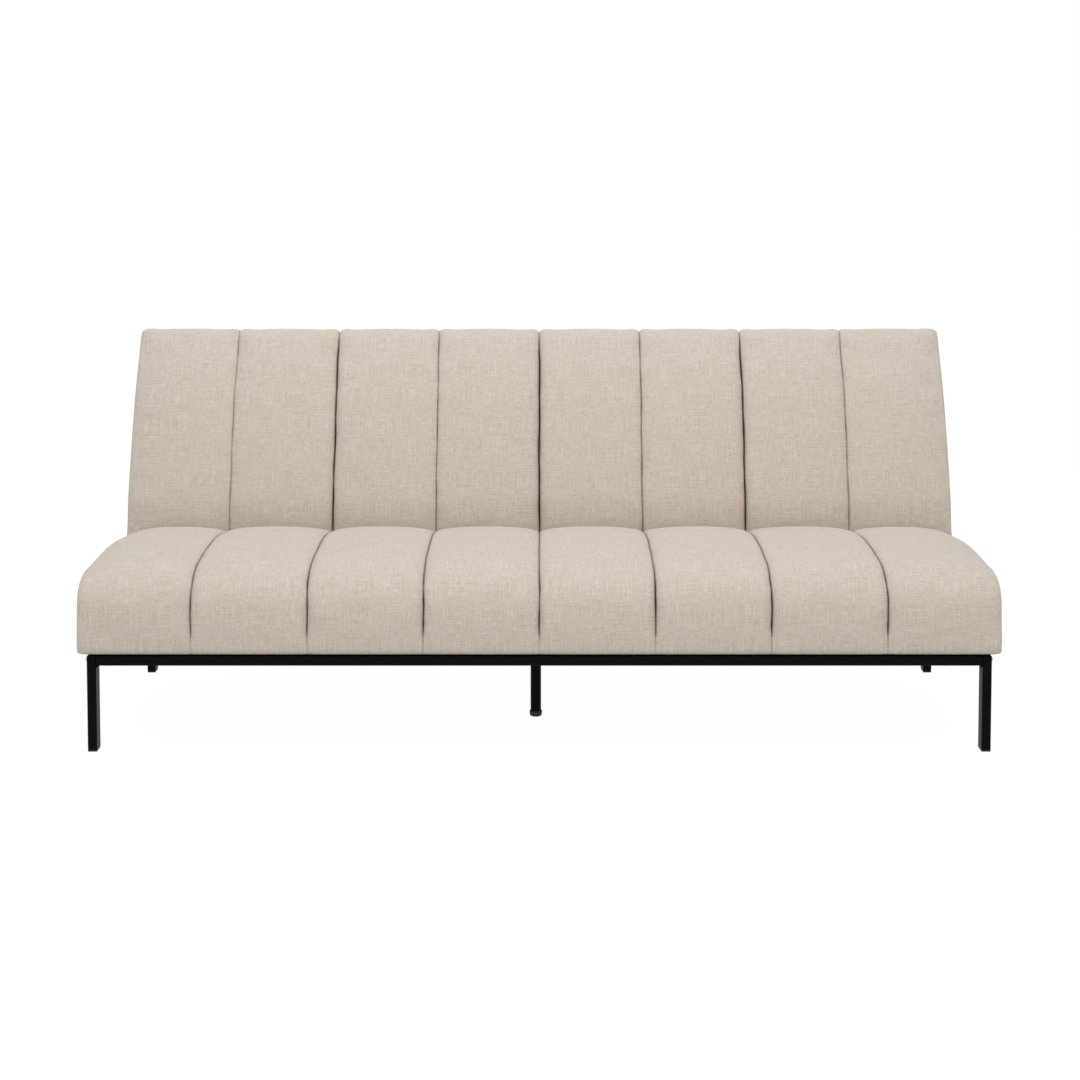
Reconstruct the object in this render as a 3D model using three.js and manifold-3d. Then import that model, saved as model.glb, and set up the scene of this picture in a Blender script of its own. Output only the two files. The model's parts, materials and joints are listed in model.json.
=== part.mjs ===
// Click clack sofa bed: channelled seat and back cushions that fold on a low steel tube base
// Millimetres, +X right, +Y rear, +Z up. Depths count from the front of the legs, heights from the floor
import * as THREE from 'three';
import { mergeVertices } from 'three/addons/utils/BufferGeometryUtils.js';
import Module from 'manifold-3d';

const wasm = await Module();
wasm.setup();

// Sizes that the whole sofa shares
const sofaWidth = 1980;
const channelCount = 8;
const gap = 0.3;
const overrun = 5;
const roundSides = 20;
const boltSides = 8;

// Steel base: tube rails laid flat between four flat legs
const baseInset = 25;
const baseDepth = 767;
const baseHeight = 206;
const railWidth = 40;
const railHeight = 20;
const tubeWall = 1.6;
const tubeCorner = 2;
const endPlate = 3;
const gussetSize = 6;
const gussetLength = 24;
const legWidth = 20;
const legDepth = 40;

// Plastic glides in the leg ends
const glideHeight = 4;
const glidePlugHeight = 18;
const glideRim = 0.5;

// Round centre leg, which screws into the crossbar a little left of the middle
const crossbarOffset = -8;
const centreLegDepth = 305;
const centreLegRadius = 12;
const centreStudRadius = 4;
const centreStudHeight = 12;
const footRadius = 14.2;
const footHeight = 14;
const footDome = 5;
const footFloor = 5;

// Bolts
const boltRadius = 4;
const boltHoleRadius = 4.5;
const boltHeadRadius = 6.5;
const boltHeadHeight = 4.5;
const boltGrip = 14;

// Seat cushion
const seatOverhang = 10;
const seatRearSetback = 170;
const seatThickness = 196;
const seatRearDrop = 14;
const seatNoseDepth = 150;
const seatNoseHeight = 92;
const seatNosePower = 2.4;
const seatRearRadius = 28;
const seatToeInset = 14;
const seatHeelInset = 3;
const seatFrontInset = 1;

// Back cushion, leaning on the hinge behind the seat
const backLean = THREE.MathUtils.degToRad(22.8);
const backLength = 568;
const backThickness = 150;
const backRadius = 28;
const backBulge = 44;
const seatBackGap = 3.4;
const bedDrop = 24;

// Sewn channels and turned-in ends of both cushions
const channelDepth = 10;
const channelPower = 2.6;
const channelRoot = 2.2;
const softEndDepth = 26;
const softEndReach = 95;
const tightEndDepth = 13;
const tightEndReach = 30;

// Seat interior
const seatPadFront = 26;
const seatPadRear = 11;
const seatPadSide = 21;
const seatPadTop = 50;
const seatNoseCutDepth = 50;
const seatNoseCutHeight = 58;
const seatRearCut = 24;
const dustClothThickness = 1.5;
const seatBoardThickness = 20;
const seatBoardHeight = 60;
const seatTieDrop = 20;
const springWire = 3.6;
const springSpread = 24;
const springWaves = 9;
const clipWidth = 18;
const clipDepth = 12;
const clipHeight = 7;
const tieWire = 3;

// Back interior
const backPadFront = 14;
const backPadEnds = 27;
const backFoamThickness = 33;
const webbingThickness = 1.5;
const webbingWidth = 60;
const backBoardThickness = 20;
const backSideBoardThickness = 22;
const backBoardDepth = 92;
const rearPanelThickness = 4;
const lowBoardRise = 58;

// Hinge: seat arm, bracket and back arm lie side by side on one pin
const hingeRise = 32.8;
const hingeInset = 39.5;
const bracketSetback = 16.6;
const plateThickness = 6;
const plateGap = 0.4;
const pinRadius = 6;
const pinHeadRadius = 10;
const pinHeadHeight = 3.2;
const pinTail = 0.7;
const hingeSlotMargin = 17;
const hingeSlotRise = 54;
const hingeSlotSkin = 10;
const armSideClearance = 1.4;

// Hinge bracket
const bracketHalf = 18;
const bracketShoulder = 38;
const bracketSpread = 37;
const bracketToe = 80;
const footFlangeThickness = 5;
const footFlangeWidth = 26;
const footFlangeTail = 32;
const footBoltInset = 12;

// Seat arm
const seatArmWidth = 30;
const seatArmRise = 16;
const seatArmReach = 186;
const armSlotClearance = 3;

// Back arm and its notched ratchet head
const backArmHubRadius = 24;
const ratchetRadius = 34;
const notchDepth = 6;
const backArmWidth = 36;
const backArmInset = 62;
const backArmLength = 192;
const backArmKnee = 70;
const holdAngles = [0, 33.6];
const notchRampAngle = 15;
const notchWallAngle = 6;
const ratchetLead = 20;
const ratchetTail = 12;

// Pawl, its pin and its leaf spring
const pawlClearance = 0.7;
const pawlThickness = 5;
const pawlEyeRadius = 9;
const pawlPinRadius = 4;
const pawlPinHead = 1.4;
const pawlTipWidth = 7;
const pawlOffset = 18.8;
const pawlDrop = 46;
const leafThickness = 1;
const leafWidth = 4;
const leafTabThickness = 3.5;
const leafTabHeight = 24;
const leafTabInset = 5;

// Rubber buffers under the flat back
const bufferRadius = 15;
const bufferInset = 265;

// Shares, chosen by eye from the shape of each cushion. Each row of a seam table holds a point's share
// of the channels, of the soft turn at the ends and of the tight turn there
const innerChannelShares = [0.07, 0.25, 0.5, 0.75, 0.93, 1];
const endChannelShares = [0.07, 0.25, 0.5, 0.7, 0.86, 0.95, 0.988, 1];
const noseSteps = 6;
const seatTopShares = [0.62, 0.3];
const seatCurveShares = [0, 0.38];
const seatFrontRiseShares = [0.6, 0.18];
const seatToeShare = 0.4;
const seatNoseTightShare = 0.8;
const fullSeamShares = [1, 1, 0];
const seatRearSeamShares = [[0.1, 0, 0.4], [0, 0, 0.4], [0.1, 0, 0.6], [0.6, 0.2, 0.6], [1, 0.7, 0.2]];
const seatFrontSeamShares = [[0.75, 0.15, 0.8], [0.4, 0, 0.7]];
const backFaceShares = [0.08, 0.17, 0.31, 0.48, 0.66, 0.81, 0.93];
const backBulgeShares = [0.3, 0.72, 0.93, 1, 0.92, 0.64, 0.24];
const backCrestShare = 0.1;
const backUnderSeamShares = [[0, 0, 0.4], [0, 0, 0.4], [0, 0, 0.3], [0, 0, 0.15], [0, 0, 0.15]];
const backTopSeamShares = [[0.1, 0, 0.6], [0.25, 0, 1], [0.35, 0, 1], [0.6, 0.4, 0.6], [0.9, 0.8, 0.2]];
const backFootSeamShares = [[0.4, 0.5, 0.3], [0.1, 0.2, 0.3]];
const seatArmBoltShares = [0.2, 0.75];
const backArmBoltShares = [0.48, 0.86];
const seatTieShares = [-1 / 6, 1 / 6];
const backUprightShares = [-1 / 6, 1 / 6];
const tieWireShares = [1 / 3, 2 / 3];
const webbingShares = [0.08, 0.25, 0.42, 0.58, 0.75, 0.92];
const webbingRiseShares = [0.5, 0.72];
const leafContactShare = 0.6;
const boltCrownShare = 0.6;
const boltRimShare = 0.4;

// Places that follow from the sizes
const half = sofaWidth / 2;
const baseHalf = half - baseInset;
const channelWidth = sofaWidth / channelCount;
const railBottom = baseHeight - railHeight;
const seatBottom = baseHeight + gap;
const seatFront = -seatOverhang;
const seatRear = baseDepth - seatRearSetback;
const seatTop = baseHeight + seatThickness;
const bedHeight = seatTop - bedDrop;
const seatInnerFront = seatFront + seatPadFront;
const seatInnerRear = seatRear - seatPadRear;
const seatInnerHalf = half - seatPadSide;
const seatInnerTop = seatTop - seatPadTop;
const seatFrameBottom = seatBottom + dustClothThickness + gap;
const seatFrameTop = seatFrameBottom + seatBoardHeight;
const seatArmBottom = baseHeight + seatArmRise;

const leanSin = Math.sin(backLean);
const leanCos = Math.cos(backLean);
const backCorner = {
  y: seatRear + seatBackGap - backRadius * (leanSin + leanCos - 1),
  z: bedHeight - hingeInset - hingeRise * leanCos + hingeInset * leanSin,
};
const hinge = {
  y: backCorner.y + hingeRise * leanSin + hingeInset * leanCos,
  z: bedHeight - hingeInset,
};

// Layers of the hinge, from inboard to outboard
const bracketLayer = layerFrom(baseHalf - bracketSetback, plateThickness);
const seatArmLayer = layerFrom(bracketLayer.inner - plateGap - plateThickness, plateThickness);
const backArmLayer = layerFrom(bracketLayer.outer + plateGap, plateThickness);
const pawlLayer = layerFrom(bracketLayer.outer + plateGap, pawlThickness);
const backBoardInner = backArmLayer.outer + armSideClearance;
const backBoardOuter = backBoardInner + backSideBoardThickness;
const backInnerHalf = backBoardOuter + gap;
const hingeSlotInner = seatArmLayer.inner - hingeSlotMargin;
const seatSideBoardInner = seatArmLayer.outer + gap;

function layerFrom(inner, thickness) {
  return { inner, outer: inner + thickness };
}

// Materials
const linen = new THREE.MeshStandardMaterial({ color: '#cdc2b4', roughness: 0.95 });
const blackSteel = new THREE.MeshStandardMaterial({ color: '#141516', roughness: 0.5, metalness: 0.4 });
const blackPlastic = new THREE.MeshStandardMaterial({ color: '#0c0c0d', roughness: 0.45 });
const zincSteel = new THREE.MeshStandardMaterial({ color: '#a9abad', roughness: 0.35, metalness: 0.9 });
const springSteel = new THREE.MeshStandardMaterial({ color: '#6c6f72', roughness: 0.4, metalness: 0.8 });
const rubber = new THREE.MeshStandardMaterial({ color: '#1a1a1a', roughness: 0.9 });
const timber = new THREE.MeshStandardMaterial({ color: '#c59f6c', roughness: 0.8 });
const foam = new THREE.MeshStandardMaterial({ color: '#e9dfae', roughness: 1 });
const blackCloth = new THREE.MeshStandardMaterial({ color: '#1d1d1f', roughness: 1 });
const webbing = new THREE.MeshStandardMaterial({ color: '#3a3a3c', roughness: 0.9 });

// Booleans
function toSolid(geometry) {
  const bare = geometry.clone();
  bare.deleteAttribute('normal');
  bare.deleteAttribute('uv');
  const merged = mergeVertices(bare);
  return new wasm.Manifold(new wasm.Mesh({
    numProp: 3,
    vertProperties: new Float32Array(merged.attributes.position.array),
    triVerts: new Uint32Array(merged.index.array),
  }));
}

function toGeometry(solid) {
  const mesh = solid.getMesh();
  const geometry = new THREE.BufferGeometry();
  geometry.setAttribute('position', new THREE.BufferAttribute(mesh.vertProperties, 3));
  geometry.setIndex(new THREE.BufferAttribute(mesh.triVerts, 1));
  geometry.computeVertexNormals();
  return geometry;
}

function cut(body, ...tools) {
  return toGeometry(tools.reduce((solid, tool) => solid.subtract(toSolid(tool)), toSolid(body)));
}

function join(first, ...others) {
  return toGeometry(others.reduce((solid, other) => solid.add(toSolid(other)), toSolid(first)));
}

// Plain shapes
function block(xRange, yRange, zRange) {
  const [x, y, z] = [xRange, yRange, zRange].map(([a, b]) => ({ size: Math.abs(b - a), middle: (a + b) / 2 }));
  return new THREE.BoxGeometry(x.size, y.size, z.size).translate(x.middle, y.middle, z.middle);
}

function outline(points) {
  return new THREE.Shape(points.map(([a, b]) => new THREE.Vector2(a, b)));
}

function roundHole(a, b, radius) {
  return new THREE.Path().absarc(a, b, radius, 0, 2 * Math.PI, true);
}

// A shape drawn in depth and height, given its thickness across the sofa
const acrossSofa = new THREE.Matrix4().makeBasis(
  new THREE.Vector3(0, 1, 0), new THREE.Vector3(0, 0, 1), new THREE.Vector3(1, 0, 0),
);

function plate(shape, xRange) {
  const [a, b] = xRange;
  const settings = { depth: Math.abs(b - a), bevelEnabled: false, curveSegments: roundSides / 2 };
  return new THREE.ExtrudeGeometry(shape, settings).applyMatrix4(acrossSofa).translate(Math.min(a, b), 0, 0);
}

function rodAcross(y, z, radius, xRange, rodSides = roundSides) {
  const [a, b] = xRange;
  const rod = new THREE.CylinderGeometry(radius, radius, Math.abs(b - a), rodSides);
  return rod.rotateZ(Math.PI / 2).translate((a + b) / 2, y, z);
}

function rodUpright(x, y, radius, zRange, rodSides = roundSides) {
  const [a, b] = zRange;
  const rod = new THREE.CylinderGeometry(radius, radius, b - a, rodSides);
  return rod.rotateX(Math.PI / 2).translate(x, y, (a + b) / 2);
}

function boltHoleAcross(y, z, xRange) {
  return rodAcross(y, z, boltHoleRadius, xRange, boltSides);
}

function boltHoleUpright(x, y, zRange) {
  return rodUpright(x, y, boltHoleRadius, zRange, boltSides);
}

// A turned piece, from a profile of radius and height that starts and ends on its axis
function turned(profile, sides) {
  const points = profile.map(([radius, height]) => new THREE.Vector2(radius, height));
  return new THREE.LatheGeometry(points, sides).rotateX(Math.PI / 2);
}

// A dome-headed bolt whose head is seated at zero and whose shank points up
function bolt(shankLength) {
  return turned([
    [0, -boltHeadHeight], [boltHeadRadius * boltCrownShare, -boltHeadHeight],
    [boltHeadRadius, -boltHeadHeight * boltRimShare], [boltHeadRadius, 0],
    [boltRadius, 0], [boltRadius, shankLength], [0, shankLength],
  ], boltSides);
}

// A strip of even width along a line of points
function ribbon(points, width) {
  const line = points.map(([a, b]) => new THREE.Vector2(a, b));
  const sideOf = (sign) => line.map((point, i) => {
    const before = point.clone().sub(line[Math.max(i - 1, 0)]).normalize();
    const after = line[Math.min(i + 1, line.length - 1)].clone().sub(point).normalize();
    const first = i === 0 ? after : before;
    const last = i === line.length - 1 ? before : after;
    const middle = first.clone().add(last).normalize();
    const reach = sign * width / 2 / middle.dot(last);
    return new THREE.Vector2(point.x - middle.y * reach, point.y + middle.x * reach);
  });
  return new THREE.Shape([...sideOf(-1), ...sideOf(1).reverse()]);
}

// Hollow rectangular tube section, centred
function tubeSection(width, height) {
  const [w, h] = [width / 2, height / 2];
  const corners = [[w, -h, -1, 1], [w, h, -1, -1], [-w, h, 1, -1], [-w, -h, 1, 1]];
  const shape = new THREE.Shape();
  corners.forEach(([a, b, aIn, bIn], i) => {
    const start = i % 2 === 0 ? [a + aIn * tubeCorner, b] : [a, b + bIn * tubeCorner];
    const end = i % 2 === 0 ? [a, b + bIn * tubeCorner] : [a + aIn * tubeCorner, b];
    if (i === 0) shape.moveTo(...start);
    else shape.lineTo(...start);
    shape.lineTo(...end);
  });
  return shape;
}

function tubeBore(width, height) {
  const [w, h] = [width / 2 - tubeWall, height / 2 - tubeWall];
  return outline([[-w, -h], [w, -h], [w, h], [-w, h]]);
}

function extruded(shape, length) {
  return new THREE.ExtrudeGeometry(shape, { depth: length, bevelEnabled: false });
}

// Cross rails run along X, with end plates drilled for the leg bolts
function crossRail(y) {
  const end = baseHalf - legWidth - gap;
  const middle = railBottom + railHeight / 2;
  const inTube = end - endPlate;
  const body = extruded(tubeSection(railWidth, railHeight), 2 * end)
    .applyMatrix4(acrossSofa).translate(-end, y, middle);
  const bore = extruded(tubeBore(railWidth, railHeight), 2 * inTube)
    .applyMatrix4(acrossSofa).translate(-inTube, y, middle);
  const boltHole = boltHoleAcross(y, middle, [-end - overrun, end + overrun]);
  return cut(join(body, railGusset(y, end), railGusset(y, -end)), bore, boltHole);
}

// A small weld gusset under the end of a cross rail
function railGusset(y, x) {
  const inward = -Math.sign(x) * gussetSize;
  const points = [[x, railBottom + tubeWall], [x, railBottom - gussetSize], [x + inward, railBottom],
    [x + inward, railBottom + tubeWall]];
  const ordered = x > 0 ? points.reverse() : points;
  return extruded(outline(ordered), gussetLength).rotateX(Math.PI / 2).translate(0, y + gussetLength / 2, 0);
}

// Rails that run from front to rear
function lengthwiseRail(x) {
  const front = Math.max(legDepth, railWidth) + gap;
  const rear = baseDepth - Math.max(legDepth, railWidth) - gap;
  const shape = tubeSection(railWidth, railHeight);
  shape.holes.push(tubeBore(railWidth, railHeight));
  return extruded(shape, rear - front).rotateX(Math.PI / 2).translate(x, rear, railBottom + railHeight / 2);
}

function sideRail(side) {
  const x = side * (baseHalf - railWidth / 2);
  const holes = footBoltPlaces().map((y) => boltHoleUpright(
    side * footBoltX(), y, [baseHeight - tubeWall - overrun, baseHeight + overrun],
  ));
  return cut(lengthwiseRail(x), ...holes);
}

function crossbar() {
  const hole = rodUpright(
    crossbarOffset, centreLegDepth, centreStudRadius + gap, [railBottom - overrun, railBottom + tubeWall + overrun],
  );
  return cut(lengthwiseRail(crossbarOffset), hole);
}

function leg(side, y) {
  const x = side * (baseHalf - legWidth / 2);
  const height = baseHeight - glideHeight - gap;
  const body = extruded(tubeSection(legWidth, legDepth), height).translate(x, y, glideHeight + gap);
  const bore = extruded(tubeBore(legWidth, legDepth), height - tubeWall + overrun)
    .translate(x, y, glideHeight + gap - overrun);
  const boltHole = boltHoleAcross(y, railBottom + railHeight / 2,
    [x - legWidth / 2 - overrun, x + legWidth / 2 + overrun]);
  return cut(body, bore, boltHole);
}

function glide(side, y) {
  const x = side * (baseHalf - legWidth / 2);
  const [w, d] = [legWidth / 2 - glideRim, legDepth / 2 - glideRim];
  const [plugW, plugD] = [legWidth / 2 - tubeWall - gap, legDepth / 2 - tubeWall - gap];
  const sole = block([x - w, x + w], [y - d, y + d], [0, glideHeight]);
  const plug = block([x - plugW, x + plugW], [y - plugD, y + plugD], [glideHeight / 2, glideHeight + glidePlugHeight]);
  return join(sole, plug);
}

function legBolt(side, y) {
  const length = legWidth + gap + endPlate + boltGrip;
  return bolt(length).rotateY(-side * Math.PI / 2).translate(side * (baseHalf + gap), y, railBottom + railHeight / 2);
}

// The centre leg is a round tube with a top plate and a stud, and a ferrule round its lower end
function centreLeg() {
  const top = railBottom - gap;
  const bottom = footFloor + gap;
  return turned([
    [0, top - tubeWall], [centreLegRadius - tubeWall, top - tubeWall], [centreLegRadius - tubeWall, bottom],
    [centreLegRadius, bottom], [centreLegRadius, top], [centreStudRadius, top],
    [centreStudRadius, railBottom + centreStudHeight], [0, railBottom + centreStudHeight],
  ], roundSides).translate(crossbarOffset, centreLegDepth, 0);
}

function centreFoot() {
  const bore = centreLegRadius + gap;
  return turned([
    [0, 0], [footRadius - footDome, 0], [footRadius - footDome * (1 - Math.SQRT1_2), footDome * (1 - Math.SQRT1_2)],
    [footRadius, footDome], [footRadius, footHeight - (footRadius - bore) / 2], [bore, footHeight],
    [bore, footFloor], [0, footFloor],
  ], roundSides).translate(crossbarOffset, centreLegDepth, 0);
}

// A buffer reaches up to the rear panel of the back when the back lies flat
function bedBuffer(side) {
  const top = hinge.z - (rearPanelFront() + rearPanelThickness - hingeInset) - gap;
  return rodUpright(side * (baseHalf - bufferInset), baseDepth - railWidth / 2, bufferRadius, [baseHeight + gap, top]);
}

// How full a channel is at a share of its width: nothing at the seam, all of it in the middle
function channelFill(share) {
  return (1 - Math.abs(2 * share - 1) ** channelPower) ** (1 / channelRoot);
}

// Stations across a cushion, from the left end to the right, mirrored about the middle seam
function cushionStations() {
  const right = [];
  for (let channel = 0; channel < channelCount / 2; channel += 1) {
    const atEnd = channel === channelCount / 2 - 1;
    for (const share of atEnd ? endChannelShares : innerChannelShares) {
      const fill = atEnd && share > 0.5 ? 1 : channelFill(share);
      right.push({ x: channelWidth * (channel + share), fill });
    }
  }
  const left = right.map(({ x, fill }) => ({ x: -x, fill })).reverse();
  return [...left, { x: 0, fill: 0 }, ...right];
}

// How far an end has turned in, for a rounding of the given depth and reach
function endTurn(x, depth, reach) {
  const along = Math.max(0, (Math.abs(x) - (half - reach)) / reach);
  return depth * (1 - Math.sqrt(1 - along ** 2));
}

// Unit normals that point out of a closed line of points, which runs anticlockwise
function outwardNormals(points) {
  return points.map((point, i) => {
    const before = points[(i + points.length - 1) % points.length];
    const after = points[(i + 1) % points.length];
    return new THREE.Vector2(after.y - before.y, before.x - after.x).normalize();
  });
}

// A cushion lofted across the sofa. Each profile point has its depth, its height and its seam shares
function cushion(profile) {
  const points = profile.map(([y, z]) => new THREE.Vector2(y, z));
  const normals = outwardNormals(points);
  const stations = cushionStations();
  const positions = [];
  for (const { x, fill } of stations) {
    const soft = endTurn(x, softEndDepth, softEndReach);
    const tight = endTurn(x, tightEndDepth, tightEndReach);
    profile.forEach(([, , channelShare, softShare, tightShare], i) => {
      const inset = channelDepth * (1 - fill) * channelShare + soft * softShare + tight * tightShare;
      positions.push(x, points[i].x - normals[i].x * inset, points[i].y - normals[i].y * inset);
    });
  }
  return loftGeometry(positions, stations.length, profile.length, points);
}

function loftGeometry(positions, stationCount, ringSize, ring) {
  const faces = [];
  for (let station = 0; station < stationCount - 1; station += 1) {
    for (let i = 0; i < ringSize; i += 1) {
      const a = station * ringSize + i;
      const b = station * ringSize + ((i + 1) % ringSize);
      faces.push(a, b, b + ringSize, a, b + ringSize, a + ringSize);
    }
  }
  const last = (stationCount - 1) * ringSize;
  for (const [a, b, c] of THREE.ShapeUtils.triangulateShape(ring, [])) {
    faces.push(a, c, b, last + a, last + b, last + c);
  }
  const geometry = new THREE.BufferGeometry();
  geometry.setAttribute('position', new THREE.Float32BufferAttribute(positions, 3));
  geometry.setIndex(faces);
  return geometry;
}

// Points of a profile with their rows of seam shares
function withSeams(points, seamShares) {
  return points.map((point, i) => [...point, ...seamShares[i]]);
}

// Seat profile, anticlockwise from the lower front: rear end, top, then the rounded nose
function seatProfile() {
  const noseMiddle = { y: seatFront + seatNoseDepth, z: seatTop - seatNoseHeight };
  const rearTop = seatTop - seatRearDrop;
  const topRear = seatRear - seatRearRadius;
  const turn = seatRearRadius * (1 - Math.SQRT1_2);
  const rear = withSeams([
    [seatFront + seatToeInset, seatBottom],
    [seatRear - seatHeelInset, seatBottom],
    [seatRear, seatBottom + seatNoseHeight],
    [seatRear, rearTop - seatRearRadius],
    [seatRear - turn, rearTop - turn],
  ], seatRearSeamShares);
  const top = seatTopShares.map((share, i) => [
    noseMiddle.y + (topRear - noseMiddle.y) * share, seatTop - seatRearDrop * seatCurveShares[1 - i],
    ...fullSeamShares,
  ]);
  const nose = [];
  for (let step = 0; step <= noseSteps; step += 1) {
    const angle = (step / noseSteps) * Math.PI / 2;
    const depthShare = Math.cos(angle) ** (2 / seatNosePower);
    const heightShare = Math.sin(angle) ** (2 / seatNosePower);
    const y = noseMiddle.y - seatNoseDepth * heightShare;
    const z = noseMiddle.z + seatNoseHeight * depthShare;
    const tightShare = heightShare * seatNoseTightShare;
    nose.push([y, z, 1, 1 - tightShare, tightShare]);
  }
  const [upperRise, lowerRise] = seatFrontRiseShares.map((share) => seatBottom + seatNoseHeight * share);
  const front = withSeams([
    [seatFront + seatFrontInset, upperRise],
    [seatFront + seatToeInset * seatToeShare, lowerRise],
  ], seatFrontSeamShares);
  return [...rear, [topRear, rearTop, ...fullSeamShares], ...top, ...nose, ...front];
}

// The space inside the seat cover, kept clear by an inset on all sides
function seatInterior(inset, bottom) {
  const [front, rear, top] = [seatInnerFront + inset, seatInnerRear - inset, seatInnerTop - inset];
  const shape = outline([
    [front, bottom], [rear, bottom], [rear, seatInnerTop - seatRearCut], [seatInnerRear - seatRearCut, top],
    [seatInnerFront + seatNoseCutDepth, top], [front, seatInnerTop - seatNoseCutHeight],
  ]);
  return plate(shape, [-seatInnerHalf + inset, seatInnerHalf - inset]);
}

// The slot that lets a seat arm in through the rear of the seat
function seatArmSlot(side) {
  const x = [seatArmLayer.inner - armSlotClearance, seatArmLayer.outer + gap].map((edge) => side * edge);
  const y = [seatInnerRear - seatBoardThickness - 2 * gap - overrun, seatRear + overrun];
  const z = [seatArmBottom - armSlotClearance, seatArmUpperEdge(seatRear) + armSlotClearance];
  return block(x, y, z);
}

function seatCover() {
  const space = seatInterior(0, seatBottom - overrun);
  return cut(cushion(seatProfile()), space, seatArmSlot(1), seatArmSlot(-1));
}

function seatFoam() {
  return seatInterior(gap, seatFrameTop + clipHeight + 2 * gap);
}

function seatDustCover() {
  const x = seatInnerHalf - gap;
  return block([-x, x], [seatInnerFront + gap, seatInnerRear - gap], [seatBottom, seatBottom + dustClothThickness]);
}

// Timber ladder: front, rear and side boards with two lower boards across
function seatFrame() {
  const x = seatInnerHalf - gap;
  const [front, rear] = [seatInnerFront + gap, seatInnerRear - gap];
  const bayEdges = [-seatSideBoardInner, ...seatTieShares.map((share) => share * sofaWidth), seatSideBoardInner];
  const board = seatBoardThickness / 2;
  const bays = bayEdges.slice(1).map((edge, i) => block(
    [bayEdges[i] + (i === 0 ? 0 : board), edge - (i === seatTieShares.length ? 0 : board)],
    [front + seatBoardThickness, rear - seatBoardThickness],
    [seatFrameBottom - overrun, seatFrameTop + overrun],
  ));
  const overTies = block([bayEdges[0], bayEdges.at(-1)], [front + seatBoardThickness, rear - seatBoardThickness],
    [seatFrameTop - seatTieDrop, seatFrameTop + overrun]);
  const body = block([-x, x], [front, rear], [seatFrameBottom, seatFrameTop]);
  const holes = [1, -1].flatMap((side) => [seatArmSlot(side), ...seatArmBoltPlaces().map((y) => boltHoleAcross(
    y, seatArmBottom + seatArmWidth / 2,
    [side * (seatSideBoardInner - overrun), side * (seatSideBoardInner + boltGrip + gap)],
  ))]);
  return cut(body, ...bays, overTies, ...holes);
}

// Zigzag springs in clips, held side by side by two tie wires
function seatSprings() {
  const front = seatInnerFront + gap + seatBoardThickness / 2;
  const rear = seatInnerRear - gap - seatBoardThickness / 2;
  const bottom = seatFrameTop + gap + (clipHeight - springWire) / 2;
  const pitch = (rear - front) / springWaves;
  const line = [];
  for (let wave = 0; wave <= springWaves; wave += 1) {
    const sign = wave % 2 === 0 ? 1 : -1;
    line.push([-sign * springSpread, front + wave * pitch], [sign * springSpread, front + wave * pitch]);
  }
  const pieces = [];
  for (let channel = 0; channel < channelCount; channel += 1) {
    const x = (channel + 0.5) * channelWidth - half;
    pieces.push(extruded(ribbon(line, springWire), springWire).translate(x, 0, bottom));
    for (const y of [front, rear]) {
      pieces.push(block([x - clipWidth / 2, x + clipWidth / 2], [y - clipDepth / 2, y + clipDepth / 2],
        [seatFrameTop + gap, seatFrameTop + gap + clipHeight]));
    }
  }
  const reach = half - channelWidth / 2 + springSpread;
  for (const share of tieWireShares) {
    const y = front + (rear - front) * share;
    pieces.push(block([-reach, reach], [y - tieWire / 2, y + tieWire / 2],
      [bottom + springWire / 4, bottom + springWire / 4 + tieWire]));
  }
  return join(...pieces);
}

// Seat arm: level inside the seat, then cranked up to the hinge pin
function seatArmUpperEdge(y) {
  const w = seatArmWidth / 2;
  return hinge.z + w * leanSin + (y - hinge.y + w * leanCos) / Math.tan(backLean);
}

function seatArmEdgeDepth(z, sign) {
  const w = sign * seatArmWidth / 2;
  return hinge.y + w * leanCos + (z - hinge.z + w * leanSin) * Math.tan(backLean);
}

function seatArmBoltPlaces() {
  return seatArmBoltShares.map((share) => seatInnerRear - seatArmReach * (1 - share));
}

function seatArm(side) {
  const [low, high, w] = [seatArmBottom, seatArmBottom + seatArmWidth, seatArmWidth / 2];
  const front = seatInnerRear - seatArmReach;
  const shape = new THREE.Shape();
  shape.moveTo(front, low);
  shape.lineTo(seatArmEdgeDepth(low, 1), low);
  shape.lineTo(hinge.y + w * leanCos, hinge.z - w * leanSin);
  shape.absarc(hinge.y, hinge.z, w, -backLean, Math.PI - backLean, false);
  shape.lineTo(seatArmEdgeDepth(high, -1), high);
  shape.lineTo(front, high);
  shape.holes.push(roundHole(hinge.y, hinge.z, pinRadius + gap));
  const holes = seatArmBoltPlaces().map((y) => boltHoleAcross(y, (low + high) / 2,
    [side * (seatArmLayer.inner - overrun), side * (seatArmLayer.outer + overrun)]));
  return cut(plate(shape, [side * seatArmLayer.inner, side * seatArmLayer.outer]), ...holes);
}

function seatArmBolt(side, y) {
  const x = side * (seatArmLayer.inner - gap);
  return bolt(plateThickness + 2 * gap + boltGrip - gap).rotateY(side * Math.PI / 2)
    .translate(x, y, seatArmBottom + seatArmWidth / 2);
}

// Back profile in its own frame: depth from the face, height up the back, anticlockwise
function backProfile() {
  const turn = backRadius * (1 - Math.SQRT1_2);
  const under = withSeams([
    [backRadius, 0], [backThickness - backRadius, 0], [backThickness - turn, turn],
    [backThickness, backRadius], [backThickness, backLength - backRadius],
  ], backUnderSeamShares);
  const top = withSeams([
    [backThickness - turn, backLength - turn], [backThickness - backRadius, backLength],
    [backRadius, backLength], [turn, backLength - turn],
    [-backBulge * backCrestShare, backLength - backRadius],
  ], backTopSeamShares);
  const face = backFaceShares.map((share, i) => [
    -backBulge * backBulgeShares[i], backRadius + (backLength - 2 * backRadius) * share, ...fullSeamShares,
  ]);
  const foot = withSeams([[0, backRadius], [turn, turn]], backFootSeamShares);
  return [...under, ...top, ...face.reverse(), ...foot];
}

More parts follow.
